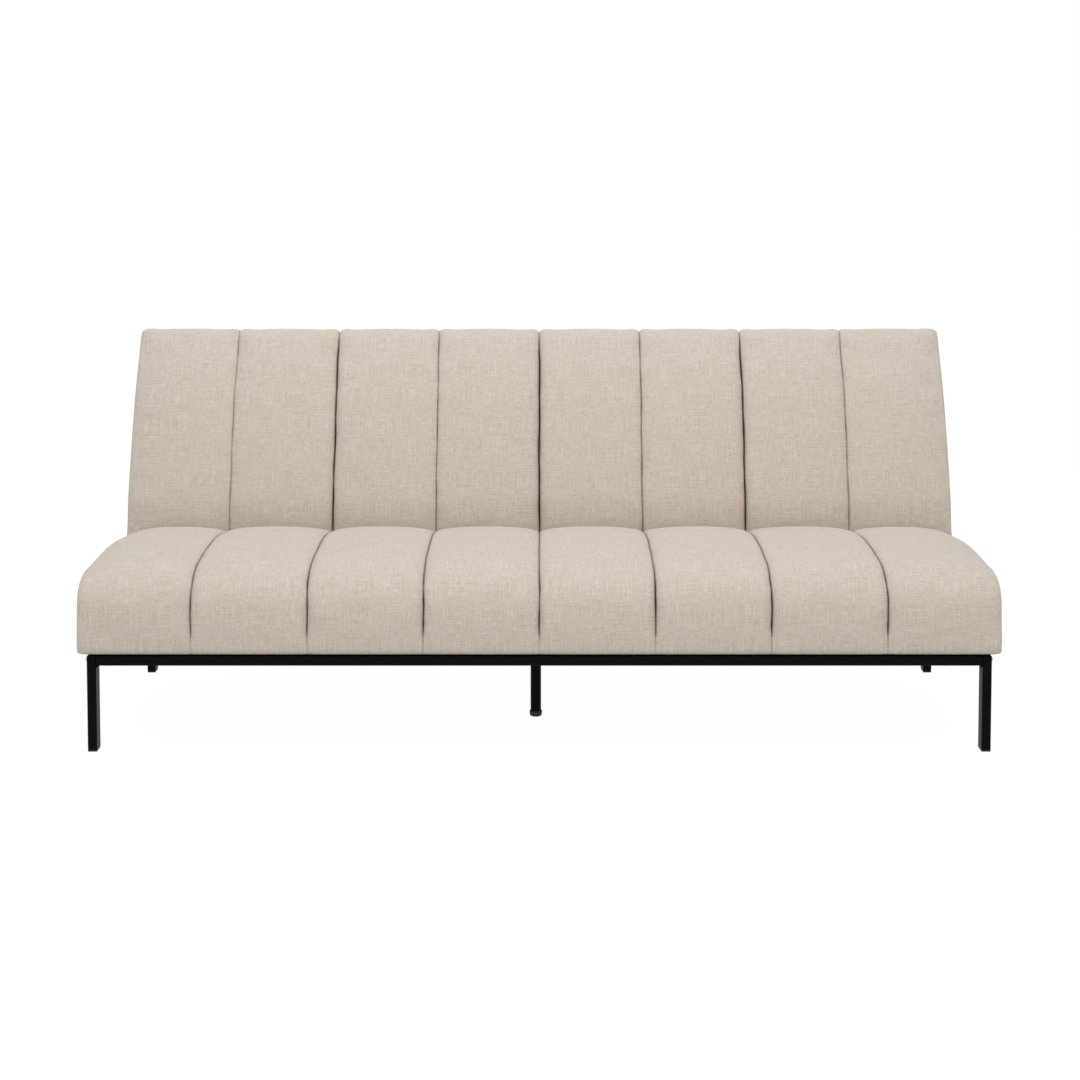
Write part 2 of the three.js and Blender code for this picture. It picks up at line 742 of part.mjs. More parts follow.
// Space inside the back cover, open at the rear
function backInterior() {
  return block([-backInnerHalf, backInnerHalf], [backPadFront, backThickness + overrun],
    [backPadEnds - gap, backLength - backPadEnds + gap]);
}

// Slot at a lower corner of the back for the bracket and the arms
function hingeSlot(side) {
  return block([side * hingeSlotInner, side * (backBoardInner + overrun)],
    [hingeSlotSkin, backThickness + 2 * overrun], [-2 * overrun, hingeSlotRise]);
}

function backCover() {
  return cut(cushion(backProfile()), backInterior(), hingeSlot(1), hingeSlot(-1));
}

function backFoam() {
  const front = backPadFront + gap;
  const body = block([-seatArmLayer.outer + armSlotClearance, seatArmLayer.outer - armSlotClearance],
    [front, front + backFoamThickness], [backPadEnds, backLength - backPadEnds]);
  return cut(body, hingeSlot(1), hingeSlot(-1));
}

function backFrameFront() {
  return backPadFront + backFoamThickness + webbingThickness + 3 * gap;
}

// Timber frame of the back, its lower board notched for the back arms
function backFrame() {
  const x = backBoardOuter;
  const depth = [backFrameFront(), backFrameFront() + backBoardDepth];
  const through = [depth[0] - overrun, depth[1] + overrun];
  const [low, high] = [backPadEnds, backLength - backPadEnds];
  const board = backBoardThickness / 2;
  const edges = [-backBoardInner, ...backUprightShares.map((share) => share * sofaWidth), backBoardInner];
  const bays = edges.slice(1).map((edge, i) => block(
    [edges[i] + (i === 0 ? 0 : board), edge - (i === backUprightShares.length ? 0 : board)], through,
    [lowBoardRise + gap + backBoardThickness, high - backBoardThickness],
  ));
  const under = block([-backBoardInner, backBoardInner], through, [low - overrun, lowBoardRise + gap]);
  const cuts = [1, -1].flatMap((side) => [
    block([side * (backArmLayer.inner - boltHeadHeight - 2 * gap), side * backBoardInner],
      [through[0], backArmInset + backArmWidth], [lowBoardRise, lowBoardRise + backBoardThickness + overrun]),
    ...backArmBoltPlaces().map((z) => boltHoleAcross(backArmInset + backArmWidth / 2, z,
      [side * (backBoardInner - overrun), side * (backBoardInner + boltGrip + gap)])),
  ]);
  return cut(block([-x, x], depth, [low, high]), ...bays, under, ...cuts);
}

function backWebbing() {
  const front = backPadFront + backFoamThickness + 2 * gap;
  const depth = [front, front + webbingThickness];
  const [low, high, x] = [lowBoardRise + gap, backLength - backPadEnds, seatArmLayer.inner];
  const upright = webbingShares.map((share) => {
    const middle = (share * 2 - 1) * x;
    return block([middle - webbingWidth / 2, middle + webbingWidth / 2], depth, [low, high]);
  });
  const across = webbingRiseShares.map((share) => {
    const middle = low + (high - low) * share;
    return block([-backBoardOuter, backBoardOuter], depth, [middle - webbingWidth / 2, middle + webbingWidth / 2]);
  });
  return join(...upright, ...across);
}

function rearPanelFront() {
  return backFrameFront() + backBoardDepth + gap;
}

function backRearPanel() {
  const front = rearPanelFront();
  const body = block([-backBoardOuter, backBoardOuter], [front, front + rearPanelThickness],
    [backPadEnds, backLength - backPadEnds]);
  return cut(body, hingeSlot(1), hingeSlot(-1));
}

// Ratchet head: a sector with one notch for each position that the back holds
function ratchetSector() {
  const toPoint = (degrees, radius) => {
    const angle = THREE.MathUtils.degToRad(degrees);
    return [hingeInset + radius * Math.cos(angle), hingeRise + radius * Math.sin(angle)];
  };
  const leanDegrees = THREE.MathUtils.radToDeg(backLean);
  const start = leanDegrees - 90;
  const points = [[hingeInset, hingeRise], toPoint(start - ratchetLead, ratchetRadius)];
  for (const held of holdAngles) {
    const notch = start + held;
    points.push(toPoint(notch - notchRampAngle, ratchetRadius), toPoint(notch, ratchetRadius - notchDepth),
      toPoint(notch + notchWallAngle, ratchetRadius - notchDepth), toPoint(notch + notchWallAngle, ratchetRadius));
  }
  const end = leanDegrees;
  const afterNotch = start + holdAngles.at(-1) + notchWallAngle;
  const middle = (afterNotch + end) / 2;
  points.push(toPoint(middle, ratchetRadius), toPoint(end, ratchetRadius));
  points.push(toPoint(end + ratchetTail, backArmHubRadius));
  return outline(points);
}

function backArmBoltPlaces() {
  return backArmBoltShares.map((share) => hingeRise + backArmLength * share);
}

function backArm(side) {
  const x = [side * backArmLayer.inner, side * backArmLayer.outer];
  const [front, rear] = [backArmInset, backArmInset + backArmWidth];
  const top = hingeRise + backArmLength;
  const knee = hingeRise + backArmKnee;
  const hub = backArmHubRadius * Math.SQRT1_2;
  const blade = outline([
    [hingeInset + hub, hingeRise - hub / 2], [rear, knee], [rear, top], [front, top],
    [front, knee], [hingeInset - hub, hingeRise + hub / 2],
  ]);
  const body = join(plate(blade, x), rodAcross(hingeInset, hingeRise, backArmHubRadius, x), plate(ratchetSector(), x));
  const through = [side * (backArmLayer.inner - overrun), side * (backArmLayer.outer + overrun)];
  const holes = backArmBoltPlaces().map((z) => boltHoleAcross((front + rear) / 2, z, through));
  return cut(body, rodAcross(hingeInset, hingeRise, pinRadius + gap, through), ...holes);
}

function backArmBolt(side, z) {
  return bolt(plateThickness + armSideClearance + boltGrip).rotateY(side * Math.PI / 2)
    .translate(side * (backArmLayer.inner - gap), backArmInset + backArmWidth / 2, z);
}

// Bracket: an upright plate with a foot flange on the side rail and a tab for the leaf spring
function footBoltPlaces() {
  return [hinge.y - bracketSpread + footBoltInset, hinge.y + footFlangeTail - footBoltInset + bracketHalf];
}

function footBoltX() {
  return bracketLayer.outer - footFlangeWidth + footBoltInset - gap;
}

function pawlPivot() {
  return { y: hinge.y - pawlOffset, z: pawlTipHeight() - pawlDrop };
}

function pawlTipHeight() {
  return hinge.z - ratchetRadius - pawlClearance;
}

function bracket(side) {
  const base = baseHeight + gap;
  const pivot = pawlPivot();
  const shape = new THREE.Shape();
  shape.moveTo(hinge.y + bracketHalf, base);
  shape.lineTo(hinge.y + bracketHalf, hinge.z);
  shape.absarc(hinge.y, hinge.z, bracketHalf, 0, Math.PI, false);
  shape.lineTo(hinge.y - bracketHalf, hinge.z - bracketShoulder);
  shape.lineTo(hinge.y - bracketSpread, hinge.z - bracketToe);
  shape.lineTo(hinge.y - bracketSpread, base);
  shape.holes.push(roundHole(hinge.y, hinge.z, pinRadius + gap), roundHole(pivot.y, pivot.z, pawlPinRadius + gap));
  const upright = plate(shape, [side * bracketLayer.inner, side * bracketLayer.outer]);
  const foot = block([side * (bracketLayer.outer - footFlangeWidth), side * bracketLayer.outer],
    [hinge.y - bracketSpread, hinge.y + bracketHalf + footFlangeTail], [base, base + footFlangeThickness]);
  const tabRear = hinge.y + bracketHalf - leafTabInset;
  const tab = block([side * (bracketLayer.outer - tubeWall), side * pawlLayer.outer],
    [tabRear - leafTabThickness, tabRear], [base, base + footFlangeThickness + leafTabHeight]);
  const holes = footBoltPlaces().map((y) => boltHoleUpright(
    side * footBoltX(), y, [base - overrun, base + footFlangeThickness + overrun],
  ));
  return cut(join(upright, foot, tab), ...holes);
}

function bracketBolt(side, y) {
  const top = baseHeight + gap + footFlangeThickness + gap;
  return bolt(footFlangeThickness + tubeWall + boltGrip / 2).rotateX(Math.PI)
    .translate(side * footBoltX(), y, top);
}

// Hinge pin: head inboard, tail riveted just outside the back arm
function hingePin(side) {
  const length = backArmLayer.outer + pinTail - (seatArmLayer.inner - gap);
  const pin = turned([
    [0, -pinHeadHeight], [pinHeadRadius, -pinHeadHeight], [pinHeadRadius, 0], [pinRadius, 0],
    [pinRadius, length], [0, length],
  ], roundSides);
  return pin.rotateY(side * Math.PI / 2).translate(side * (seatArmLayer.inner - gap), hinge.y, hinge.z);
}

function pawlPin(side) {
  const pivot = pawlPivot();
  const length = pawlLayer.outer + gap - bracketLayer.inner;
  const pin = turned([
    [0, -pawlPinHead], [pawlEyeRadius - gap, -pawlPinHead], [pawlEyeRadius - gap, 0], [pawlPinRadius, 0],
    [pawlPinRadius, length], [0, length],
  ], roundSides);
  return pin.rotateY(-side * Math.PI / 2).translate(side * (pawlLayer.outer + gap), pivot.y, pivot.z);
}

// The two straight edges of a pawl, from its eye to its tip
function pawlEdges() {
  const pivot = pawlPivot();
  const lean = Math.atan2(pawlOffset, pawlDrop);
  const eyeEdge = (sign) => new THREE.Vector2(
    pivot.y + sign * pawlEyeRadius * Math.cos(lean), pivot.z - sign * pawlEyeRadius * Math.sin(lean),
  );
  const tipEdge = (sign) => new THREE.Vector2(hinge.y + sign * pawlTipWidth / 2, pawlTipHeight());
  return { lean, rearEye: eyeEdge(1), rearTip: tipEdge(1), frontTip: tipEdge(-1) };
}

function pawl(side) {
  const pivot = pawlPivot();
  const { lean, rearEye, rearTip, frontTip } = pawlEdges();
  const shape = new THREE.Shape();
  shape.moveTo(frontTip.x, frontTip.y);
  shape.absarc(pivot.y, pivot.z, pawlEyeRadius, Math.PI - lean, 2 * Math.PI - lean, false);
  shape.lineTo(rearEye.x, rearEye.y);
  shape.lineTo(rearTip.x, rearTip.y);
  shape.holes.push(roundHole(pivot.y, pivot.z, pawlPinRadius + gap));
  return plate(shape, [side * pawlLayer.inner, side * pawlLayer.outer]);
}

// Leaf spring: straight against its tab, then leaning on the rear edge of the pawl
function pawlSpring(side) {
  const { rearEye, rearTip } = pawlEdges();
  const edge = rearTip.clone().sub(rearEye);
  const outward = new THREE.Vector2(edge.y, -edge.x).normalize();
  const touch = rearEye.clone().addScaledVector(edge, leafContactShare)
    .addScaledVector(outward, leafThickness / 2 + gap);
  const tabFront = hinge.y + bracketHalf - leafTabInset - leafTabThickness;
  const y = tabFront - gap - leafThickness / 2;
  const low = baseHeight + gap + footFlangeThickness + gap;
  const middle = (pawlLayer.inner + pawlLayer.outer) / 2;
  const shape = ribbon([[y, low], [y, low + leafTabHeight], [touch.x, touch.y]], leafThickness);
  return plate(shape, [side * (middle - leafWidth / 2), side * (middle + leafWidth / 2)]);
}

// Assembly
function piece(name, geometry, material) {
  const mesh = new THREE.Mesh(geometry, material);
  mesh.name = name;
  return mesh;
}

const sides = [{ side: -1, name: 'left' }, { side: 1, name: 'right' }];
const ends = [
  { name: 'front', y: railWidth / 2, legY: legDepth / 2 },
  { name: 'rear', y: baseDepth - railWidth / 2, legY: baseDepth - legDepth / 2 },
];

function steelBase() {
  const base = new THREE.Group();
  for (const end of ends) {
    base.add(piece(`${end.name}_rail`, crossRail(end.y), blackSteel));
    for (const { side, name } of sides) {
      base.add(
        piece(`leg_${end.name}_${name}`, leg(side, end.legY), blackSteel),
        piece(`glide_${end.name}_${name}`, glide(side, end.legY), blackPlastic),
        piece(`leg_bolt_${end.name}_${name}`, legBolt(side, end.legY), zincSteel),
      );
    }
  }
  for (const { side, name } of sides) {
    base.add(
      piece(`side_rail_${name}`, sideRail(side), blackSteel),
      piece(`bed_buffer_${name}`, bedBuffer(side), rubber),
    );
  }
  base.add(
    piece('centre_crossbar', crossbar(), blackSteel),
    piece('centre_leg', centreLeg(), blackSteel),
    piece('centre_foot', centreFoot(), blackPlastic),
  );
  return base;
}

function hingeParts() {
  const parts = new THREE.Group();
  for (const { side, name } of sides) {
    parts.add(
      piece(`bracket_${name}`, bracket(side), blackSteel),
      piece(`hinge_pin_${name}`, hingePin(side), zincSteel),
      piece(`pawl_${name}`, pawl(side), zincSteel),
      piece(`pawl_pin_${name}`, pawlPin(side), zincSteel),
      piece(`pawl_spring_${name}`, pawlSpring(side), springSteel),
    );
    footBoltPlaces().forEach((y, i) => {
      parts.add(piece(`bracket_bolt_${ends[i].name}_${name}`, bracketBolt(side, y), zincSteel));
    });
  }
  return parts;
}

function seat() {
  const group = new THREE.Group();
  group.add(
    piece('seat_cover', seatCover(), linen),
    piece('seat_foam', seatFoam(), foam),
    piece('seat_frame', seatFrame(), timber),
    piece('seat_springs', seatSprings(), springSteel),
    piece('seat_dust_cover', seatDustCover(), blackCloth),
  );
  for (const { side, name } of sides) {
    group.add(piece(`seat_arm_${name}`, seatArm(side), blackSteel));
    seatArmBoltPlaces().forEach((y, i) => {
      group.add(piece(`seat_arm_bolt_${ends[i].name}_${name}`, seatArmBolt(side, y), zincSteel));
    });
  }
  return group;
}

function back() {
  const group = new THREE.Group();
  group.add(
    piece('back_cover', backCover(), linen),
    piece('back_foam', backFoam(), foam),
    piece('back_frame', backFrame(), timber),
    piece('back_webbing', backWebbing(), webbing),
    piece('back_rear_panel', backRearPanel(), linen),
  );
  for (const { side, name } of sides) {
    group.add(piece(`back_arm_${name}`, backArm(side), blackSteel));
    backArmBoltPlaces().forEach((z, i) => {
      const level = i === 0 ? 'low' : 'high';
      group.add(piece(`back_arm_bolt_${level}_${name}`, backArmBolt(side, z), zincSteel));
    });
  }
  group.position.set(0, backCorner.y, backCorner.z);
  group.rotation.x = -backLean;
  return group;
}

// The origin is under the middle of the whole sofa, on the floor
const sofa = new THREE.Group();
sofa.add(steelBase(), hingeParts(), seat(), back());
sofa.updateMatrixWorld(true);
const bounds = new THREE.Box3().setFromObject(sofa, true);
sofa.position.y = -(bounds.min.y + bounds.max.y) / 2;

const assembly = new THREE.Group();
assembly.add(sofa);

export default assembly;
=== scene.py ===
# %% [markdown]
# # Click clack sofa bed
# Two linen cushions, each sewn into eight channels, lie on a low base of black steel tube. The
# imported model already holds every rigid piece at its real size, so this lesson dresses it: it
# builds the padded covers as sewn and inflated cloth, and gives each steel, plastic and timber
# piece its own finish.

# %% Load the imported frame
import json
import math

import bmesh
import bpy
import numpy as np
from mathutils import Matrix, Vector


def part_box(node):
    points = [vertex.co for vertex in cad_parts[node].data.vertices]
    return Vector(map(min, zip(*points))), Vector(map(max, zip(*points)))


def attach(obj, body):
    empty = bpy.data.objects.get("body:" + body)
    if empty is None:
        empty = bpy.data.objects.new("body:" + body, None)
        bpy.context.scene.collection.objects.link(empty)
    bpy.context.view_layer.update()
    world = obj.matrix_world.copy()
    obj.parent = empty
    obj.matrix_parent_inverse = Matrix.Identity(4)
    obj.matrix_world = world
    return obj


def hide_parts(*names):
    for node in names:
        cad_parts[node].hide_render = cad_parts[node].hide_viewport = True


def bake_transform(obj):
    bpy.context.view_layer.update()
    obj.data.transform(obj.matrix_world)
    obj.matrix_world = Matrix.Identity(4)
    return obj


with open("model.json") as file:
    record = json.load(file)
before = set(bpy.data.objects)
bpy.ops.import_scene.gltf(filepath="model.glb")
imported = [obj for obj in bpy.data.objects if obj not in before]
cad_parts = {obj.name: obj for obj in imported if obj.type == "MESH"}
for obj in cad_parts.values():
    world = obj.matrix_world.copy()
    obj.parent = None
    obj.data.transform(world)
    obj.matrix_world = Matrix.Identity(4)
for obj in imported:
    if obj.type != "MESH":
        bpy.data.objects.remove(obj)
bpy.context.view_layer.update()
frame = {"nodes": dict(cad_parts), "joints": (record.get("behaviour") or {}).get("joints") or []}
scene = bpy.context.scene
bpy.ops.object.select_all(action="DESELECT")
MM = 0.001

# %% [markdown]
# ## Camera
# A catalogue photographer stands far back with a long lens a little above the sofa, and keeps the
# uprights upright by sliding the lens down instead of tilting it. Part of that slide is kept here
# as lens shift, and a small downward tilt makes up the rest, so that the other views of the same
# camera still frame the sofa.

# %% Camera
PHOTO_SIDE = 1080
FOCAL_PIXELS = 2231.6
SENSOR_WIDTH = 36.0
CAMERA_TILT = 4.15
CAMERA_PLACE = (0.0015, -5.1539, 1.28)
CAMERA_SHIFT = -0.21

camera = bpy.data.objects.new("camera", bpy.data.cameras.new("camera"))
scene.collection.objects.link(camera)
camera.data.sensor_width = SENSOR_WIDTH
camera.data.lens = SENSOR_WIDTH * FOCAL_PIXELS / PHOTO_SIDE
camera.data.shift_y = CAMERA_SHIFT
camera.location = CAMERA_PLACE
camera.rotation_euler = (math.radians(90 - CAMERA_TILT), 0, 0)
scene.camera = camera
scene.view_settings.view_transform = "Standard"
print("lens", round(camera.data.lens, 1), "mm")

# %% [markdown]
# ## Colours and nodes
# Paint and cloth colours are read off as sRGB, but shaders work in linear light, so one function
# turns a hex value into linear numbers. A second one adds a node with its settings and links, which
# keeps each material's recipe short enough to read as a recipe.

# %% Colour and node helpers
def linear(hex_colour):
    """A linear colour with alpha from an sRGB hex value such as #cdc2b4."""
    channels = [int(hex_colour[i:i + 2], 16) / 255 for i in (1, 3, 5)]
    return (*[c / 12.92 if c <= 0.04045 else ((c + 0.055) / 1.055) ** 2.4 for c in channels], 1.0)


def set_stops(ramp, stops):
    """Gives a colour ramp its hex colours, each at its own place."""
    ramp.elements[0].position, ramp.elements[1].position = min(stops), max(stops)
    for place, colour in stops.items():
        found = [stop for stop in ramp.elements if abs(stop.position - place) < 1e-6]
        (found[0] if found else ramp.elements.new(place)).color = linear(colour)


def add_node(tree, kind, settings=None, feeds=None, **links):
    """Adds a node with its settings and links.

    Settings are properties, input values or a ramp's stops. Links join its inputs to other nodes'
    outputs, and feeds is an input of the shader that its first output goes into.
    """
    node = tree.nodes.new(kind)
    for name, value in (settings or {}).items():
        if name == "stops":
            set_stops(node.color_ramp, value)
        elif isinstance(name, int) or name in node.inputs:
            node.inputs[name].default_value = value
        else:
            setattr(node, name, value)
    for name, output in links.items():
        key = int(name[1:]) if name[1:].isdigit() else name.replace("_", " ")
        tree.links.new(output, node.inputs[key])
    if feeds is not None:
        tree.links.new(node.outputs[0], feeds)
    return node


def new_material(name, colour, roughness, metallic=0.0, **sockets):
    """A Principled material with its plain values set on the shader's own sockets."""
    material = bpy.data.materials.new(name)
    material.use_nodes = True
    shader = material.node_tree.nodes["Principled BSDF"]
    shader.inputs["Base Color"].default_value = linear(colour)
    shader.inputs["Roughness"].default_value = roughness
    shader.inputs["Metallic"].default_value = metallic
    for socket, value in sockets.items():
        shader.inputs[socket.replace("_", " ")].default_value = value
    return material, material.node_tree, shader


def finish_nodes(material, *names):
    """Gives a finish to CAD nodes by their names."""
    for name in names:
        node = frame["nodes"][name]
        node.data.materials.clear()
        node.data.materials.append(material)


def both_sides(*stems):
    """Node names with left and right in place of the star."""
    return [stem.replace("*", side) for stem in stems for side in ("left", "right")]


def new_object(name, bm):
    """Puts finished mesh data into the scene as an object."""
    mesh = bpy.data.meshes.new(name)
    bm.to_mesh(mesh)
    bm.free()
    made = bpy.data.objects.new(name, mesh)
    scene.collection.objects.link(made)
    return made


# %% [markdown]
# ## Studio
# The photograph has a plain white ground. A white floor alone would render light grey, so the floor
# and the world turn white for rays from the camera and from glossy surfaces, while the sofa itself
# is lit at a plain level by the world, a large soft light overhead and a weaker one in front.

# %% Studio
WORLD_LIGHT = 0.61
WHITE = (1, 1, 1, 1)
FLOOR_SIZE = 60.0
FLOOR_SHADE = 0.1
FLOOR_GLOW = 1.08
LIGHT_AIM = (0, -0.1, 0.4)
# Each softbox has a place, a size in metres, a power in watts and a colour.
SOFTBOXES = {
    "overhead_softbox": ((0, -0.3, 4.2), 4.0, 94, (0.8, 0.9, 1.0)),
    "front_softbox": ((0, -4.6, 1.7), 3.0, 45, (1.0, 0.985, 0.965)),
}


def seen_directly(tree):
    """One for rays from the camera and from glossy surfaces, and nothing for the rest."""
    ray = add_node(tree, "ShaderNodeLightPath")
    return add_node(tree, "ShaderNodeMath", {"operation": "MAXIMUM"},
                    i0=ray.outputs["Is Camera Ray"], i1=ray.outputs["Is Glossy Ray"]).outputs[0]


world = bpy.data.worlds.new("studio")
scene.world = world
world.use_nodes = True
sky = world.node_tree
sky.nodes.clear()
strength = add_node(sky, "ShaderNodeMapRange", {"To Min": WORLD_LIGHT, "To Max": 1.0},
                    Value=seen_directly(sky))
glow = add_node(sky, "ShaderNodeBackground", {"Color": WHITE}, Strength=strength.outputs[0])
add_node(sky, "ShaderNodeOutputWorld", Surface=glow.outputs[0])

bpy.ops.mesh.primitive_plane_add(size=FLOOR_SIZE, location=(0, 0, 0))
floor = bpy.context.object
floor.name = "floor"
paper, tree, shader = new_material("white_paper_floor", "#dadada", 0.9)
share = add_node(tree, "ShaderNodeMath", {"operation": "MULTIPLY", 1: 1 - FLOOR_SHADE},
                 i0=seen_directly(tree))
white = add_node(tree, "ShaderNodeEmission", {"Color": WHITE, "Strength": FLOOR_GLOW})
add_node(tree, "ShaderNodeMixShader", feeds=tree.nodes["Material Output"].inputs["Surface"],
         i0=share.outputs[0], i1=shader.outputs[0], i2=white.outputs[0])
floor.data.materials.append(paper)


def soft_light(name, place, size, power, colour):
    """A large square light that points from its place to the sofa."""
    data = bpy.data.lights.new(name, "AREA")
    data.shape, data.size, data.energy, data.color = "SQUARE", size, power, colour
    light = bpy.data.objects.new(name, data)
    scene.collection.objects.link(light)
    light.location = place
    direction = light.location.copy()
    direction.x, direction.y, direction.z = (a - p for a, p in zip(LIGHT_AIM, place))
    light.rotation_euler = direction.to_track_quat("-Z", "Y").to_euler()


for name, look in SOFTBOXES.items():
    soft_light(name, *look)
print("studio ready")

# %% [markdown]
# ## Linen
# The covers are a plain weave linen look: flat warp and weft threads under a millimetre apart, some
# thicker than others, so that short pale and dark slubs cross each other. Single threads are too
# fine for the picture, so the slubs are drawn 1.2 mm wide and the weave 1.6 mm apart. The pattern
# follows each cover's own UV map, which is laid out in metres across and along the cloth, and a
# seam attribute paints shade into the sewn folds. Loose fibre ends stand up from linen, so a little
# sheen lightens it where it is seen at a low angle.

# %% Linen
LINEN = "#cdc0b1"
LINEN_SHADE = "#b6a693"
LINEN_LIGHT = "#e0d6c8"
SEAM_SHADOW = "#38230f"
SHEEN_TINT = "#e8e0d6"
THREAD_PITCH = 1.6 * MM
THREAD_RISE = 0.8 * MM
SLUB_WIDTH = 1.2 * MM
SLUB_LENGTH = 15 * MM
LONG_SLUB = 70 * MM
BLOTCHES_PER_METRE = 14.0
BLOTCH_SHARE = 0.1
WEAVE_SHARE = 0.6
DARKEST_SUM, PALEST_SUM = 1.44, 2.66
WAVE_PERIOD = math.pi / 10
# A slub's width across the cloth, its length along it and the start of its pattern.
SLUBS = ((SLUB_WIDTH, SLUB_LENGTH, 3.0), (SLUB_LENGTH, SLUB_WIDTH, 11.0),
         (SLUB_WIDTH, LONG_SLUB, 23.0), (LONG_SLUB, SLUB_WIDTH, 31.0))


def slub_sum(tree, cloth):
    """All four kinds of slub laid over each other."""
    slubs = []
    for width, length, start in SLUBS:
        stretched = add_node(tree, "ShaderNodeMapping",
                             {"Scale": (1 / width, 1 / length, 1), "Location": (start, start, 0)},
                             Vector=cloth)
        slub = add_node(tree, "ShaderNodeTexNoise", {"Scale": 1.0, "Detail": 1.0, "Roughness": 0.5},
                        Vector=stretched.outputs[0])
        slubs.append(slub.outputs["Fac"])
    crossed = add_node(tree, "ShaderNodeMath", {"operation": "ADD"}, i0=slubs[0], i1=slubs[1])
    longer = add_node(tree, "ShaderNodeMath", {"operation": "ADD"}, i0=slubs[2], i1=slubs[3])
    return add_node(tree, "ShaderNodeMath", {"operation": "ADD"}, i0=longer.outputs[0],
                    i1=crossed.outputs[0]).outputs[0]


def linen_material():
    """Plain weave linen, with slubs both ways, a woven bump and painted shade in the sewn folds."""
    material, tree, shader = new_material("linen_plain_weave", LINEN, 0.92, Sheen_Weight=0.25,
                                          Sheen_Roughness=0.5, Sheen_Tint=linear(SHEEN_TINT),
                                          Specular_IOR_Level=0.12)
    cloth = add_node(tree, "ShaderNodeUVMap", {"uv_map": "cloth"}).outputs[0]
    slubs = slub_sum(tree, cloth)
    blotch = add_node(tree, "ShaderNodeTexNoise", {"Scale": BLOTCHES_PER_METRE, "Detail": 3.0},
                      Vector=cloth)
    tone = add_node(tree, "ShaderNodeMath", {"operation": "MULTIPLY_ADD", 1: BLOTCH_SHARE},
                    i0=blotch.outputs["Fac"], i2=slubs)
    spread = add_node(tree, "ShaderNodeMapRange", {"From Min": DARKEST_SUM, "From Max": PALEST_SUM},
                      Value=tone.outputs[0])
    ramp = add_node(tree, "ShaderNodeValToRGB",
                    {"stops": {0: LINEN_SHADE, 0.5: LINEN, 1: LINEN_LIGHT}}, Fac=spread.outputs[0])
    # The seam attribute mixes painted shade, the dark brown of SEAM_SHADOW, into the sewn slits and
    # their lips.
    seam = add_node(tree, "ShaderNodeAttribute", {"attribute_name": "seam"})
    colour = add_node(tree, "ShaderNodeMix", {"data_type": "RGBA", 7: linear(SEAM_SHADOW)},
                      i0=seam.outputs["Fac"], i6=ramp.outputs[0])
    tree.links.new(colour.outputs[2], shader.inputs["Base Color"])
    waves = [add_node(tree, "ShaderNodeTexWave", {"bands_direction": direction, "Distortion": 0.6,
                                                  "Scale": WAVE_PERIOD / THREAD_PITCH / 2},
                      Vector=cloth).outputs["Fac"] for direction in ("X", "Y")]
    weave = add_node(tree, "ShaderNodeMath", {"operation": "MULTIPLY"}, i0=waves[0], i1=waves[1])
    height = add_node(tree, "ShaderNodeMath", {"operation": "MULTIPLY_ADD", 1: WEAVE_SHARE},
                      i0=weave.outputs[0], i2=slubs)
    add_node(tree, "ShaderNodeBump", {"Strength": 0.35, "Distance": THREAD_RISE},
             feeds=shader.inputs["Normal"], Height=height.outputs[0])
    return material


linen = linen_material()
print("linen ready")

# %% [markdown]
# ## From section to cloth
# The section is drawn from its few real sizes, spaced evenly and softened, because foam has no
# sharp corner. Each row of a section holds a place and four shares: how much of the channels it
# feels, how much of the soft and of the tight turn at the ends, and how deep the sewn slit is
# there, which also sets how much painted shade the slit gets.

# %% Section and loft
CHANNELS = 8
CHANNEL_DEPTH = 10 * MM
CHANNEL_POWER = 4.0
CHANNEL_ROOT = 2.2
TIGHT_END = (10 * MM, 22 * MM)
SECTION_STEP = 14 * MM
FINE_STEPS = 10
END_CROWN = 4 * MM
cover_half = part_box("seat_cover")[1].x
half_width = cover_half - END_CROWN
channel_width = 2 * cover_half / CHANNELS


def soften(values, step, reach):
    """Gaussian smoothing of a closed line's columns."""
    offsets = np.arange(-4 * math.ceil(reach / step), 4 * math.ceil(reach / step) + 1)
    weights = np.exp(-0.5 * (offsets * step / reach) ** 2)
    return sum(w * np.roll(values, o, 0) for w, o in zip(weights, offsets)) / weights.sum()


def even_section(keys, reach):
    """A closed section at even steps through its key rows, with its corners softened."""
    keys = np.array([*keys, keys[0]], float)
    along = np.concatenate([[0], np.cumsum(np.linalg.norm(np.diff(keys[:, :2], axis=0), axis=1))])
    fine = np.linspace(0, along[-1], FINE_STEPS * round(along[-1] / SECTION_STEP), endpoint=False)
    rows = np.stack([np.interp(fine, along, column) for column in keys.T], 1)
    rows = soften(rows, fine[1], reach)
    return rows[::FINE_STEPS], fine[::FINE_STEPS], along[-1]


def outward(points):
    """Unit normals of a closed line that runs anticlockwise."""
    along = np.roll(points, -1, 0) - np.roll(points, 1, 0)
    normals = np.stack([along[:, 1], -along[:, 0]], 1)
    return normals / np.linalg.norm(normals, axis=1, keepdims=True)


def channel_fill(x):
    """How full a channel is: nothing at a seam, and all of it in the middle and out to the ends."""
    share = (x + cover_half) / channel_width % 1.0
    fill = (1 - np.abs(2 * share - 1) ** CHANNEL_POWER) ** (1 / CHANNEL_ROOT)
    return np.where(np.abs(x) > cover_half - channel_width / 2, 1.0, fill)


def end_turn(x, depth, reach):
    """How far a section has drawn in near an end, as a quarter ellipse."""
    along = np.clip((np.abs(x) - (half_width - reach)) / reach, 0, 1)
    return depth * (1 - np.sqrt(1 - along ** 2))


def loft(rows, xs, soft_end, room=0.0):
    """Points of the cover at each station and section row, with some room left for it to swell."""
    fill = channel_fill(xs)[:, None]
    soft, tight = end_turn(xs, *soft_end)[:, None], end_turn(xs, *TIGHT_END)[:, None]
    inset = (CHANNEL_DEPTH * (1 - fill) + room * fill) * rows[:, 2]
    inset = inset + soft * rows[:, 3] + tight * rows[:, 4]
    points = rows[None, :, :2] - outward(rows[:, :2])[None] * inset[..., None]
    return np.dstack([np.broadcast_to(xs[:, None], inset.shape), points])


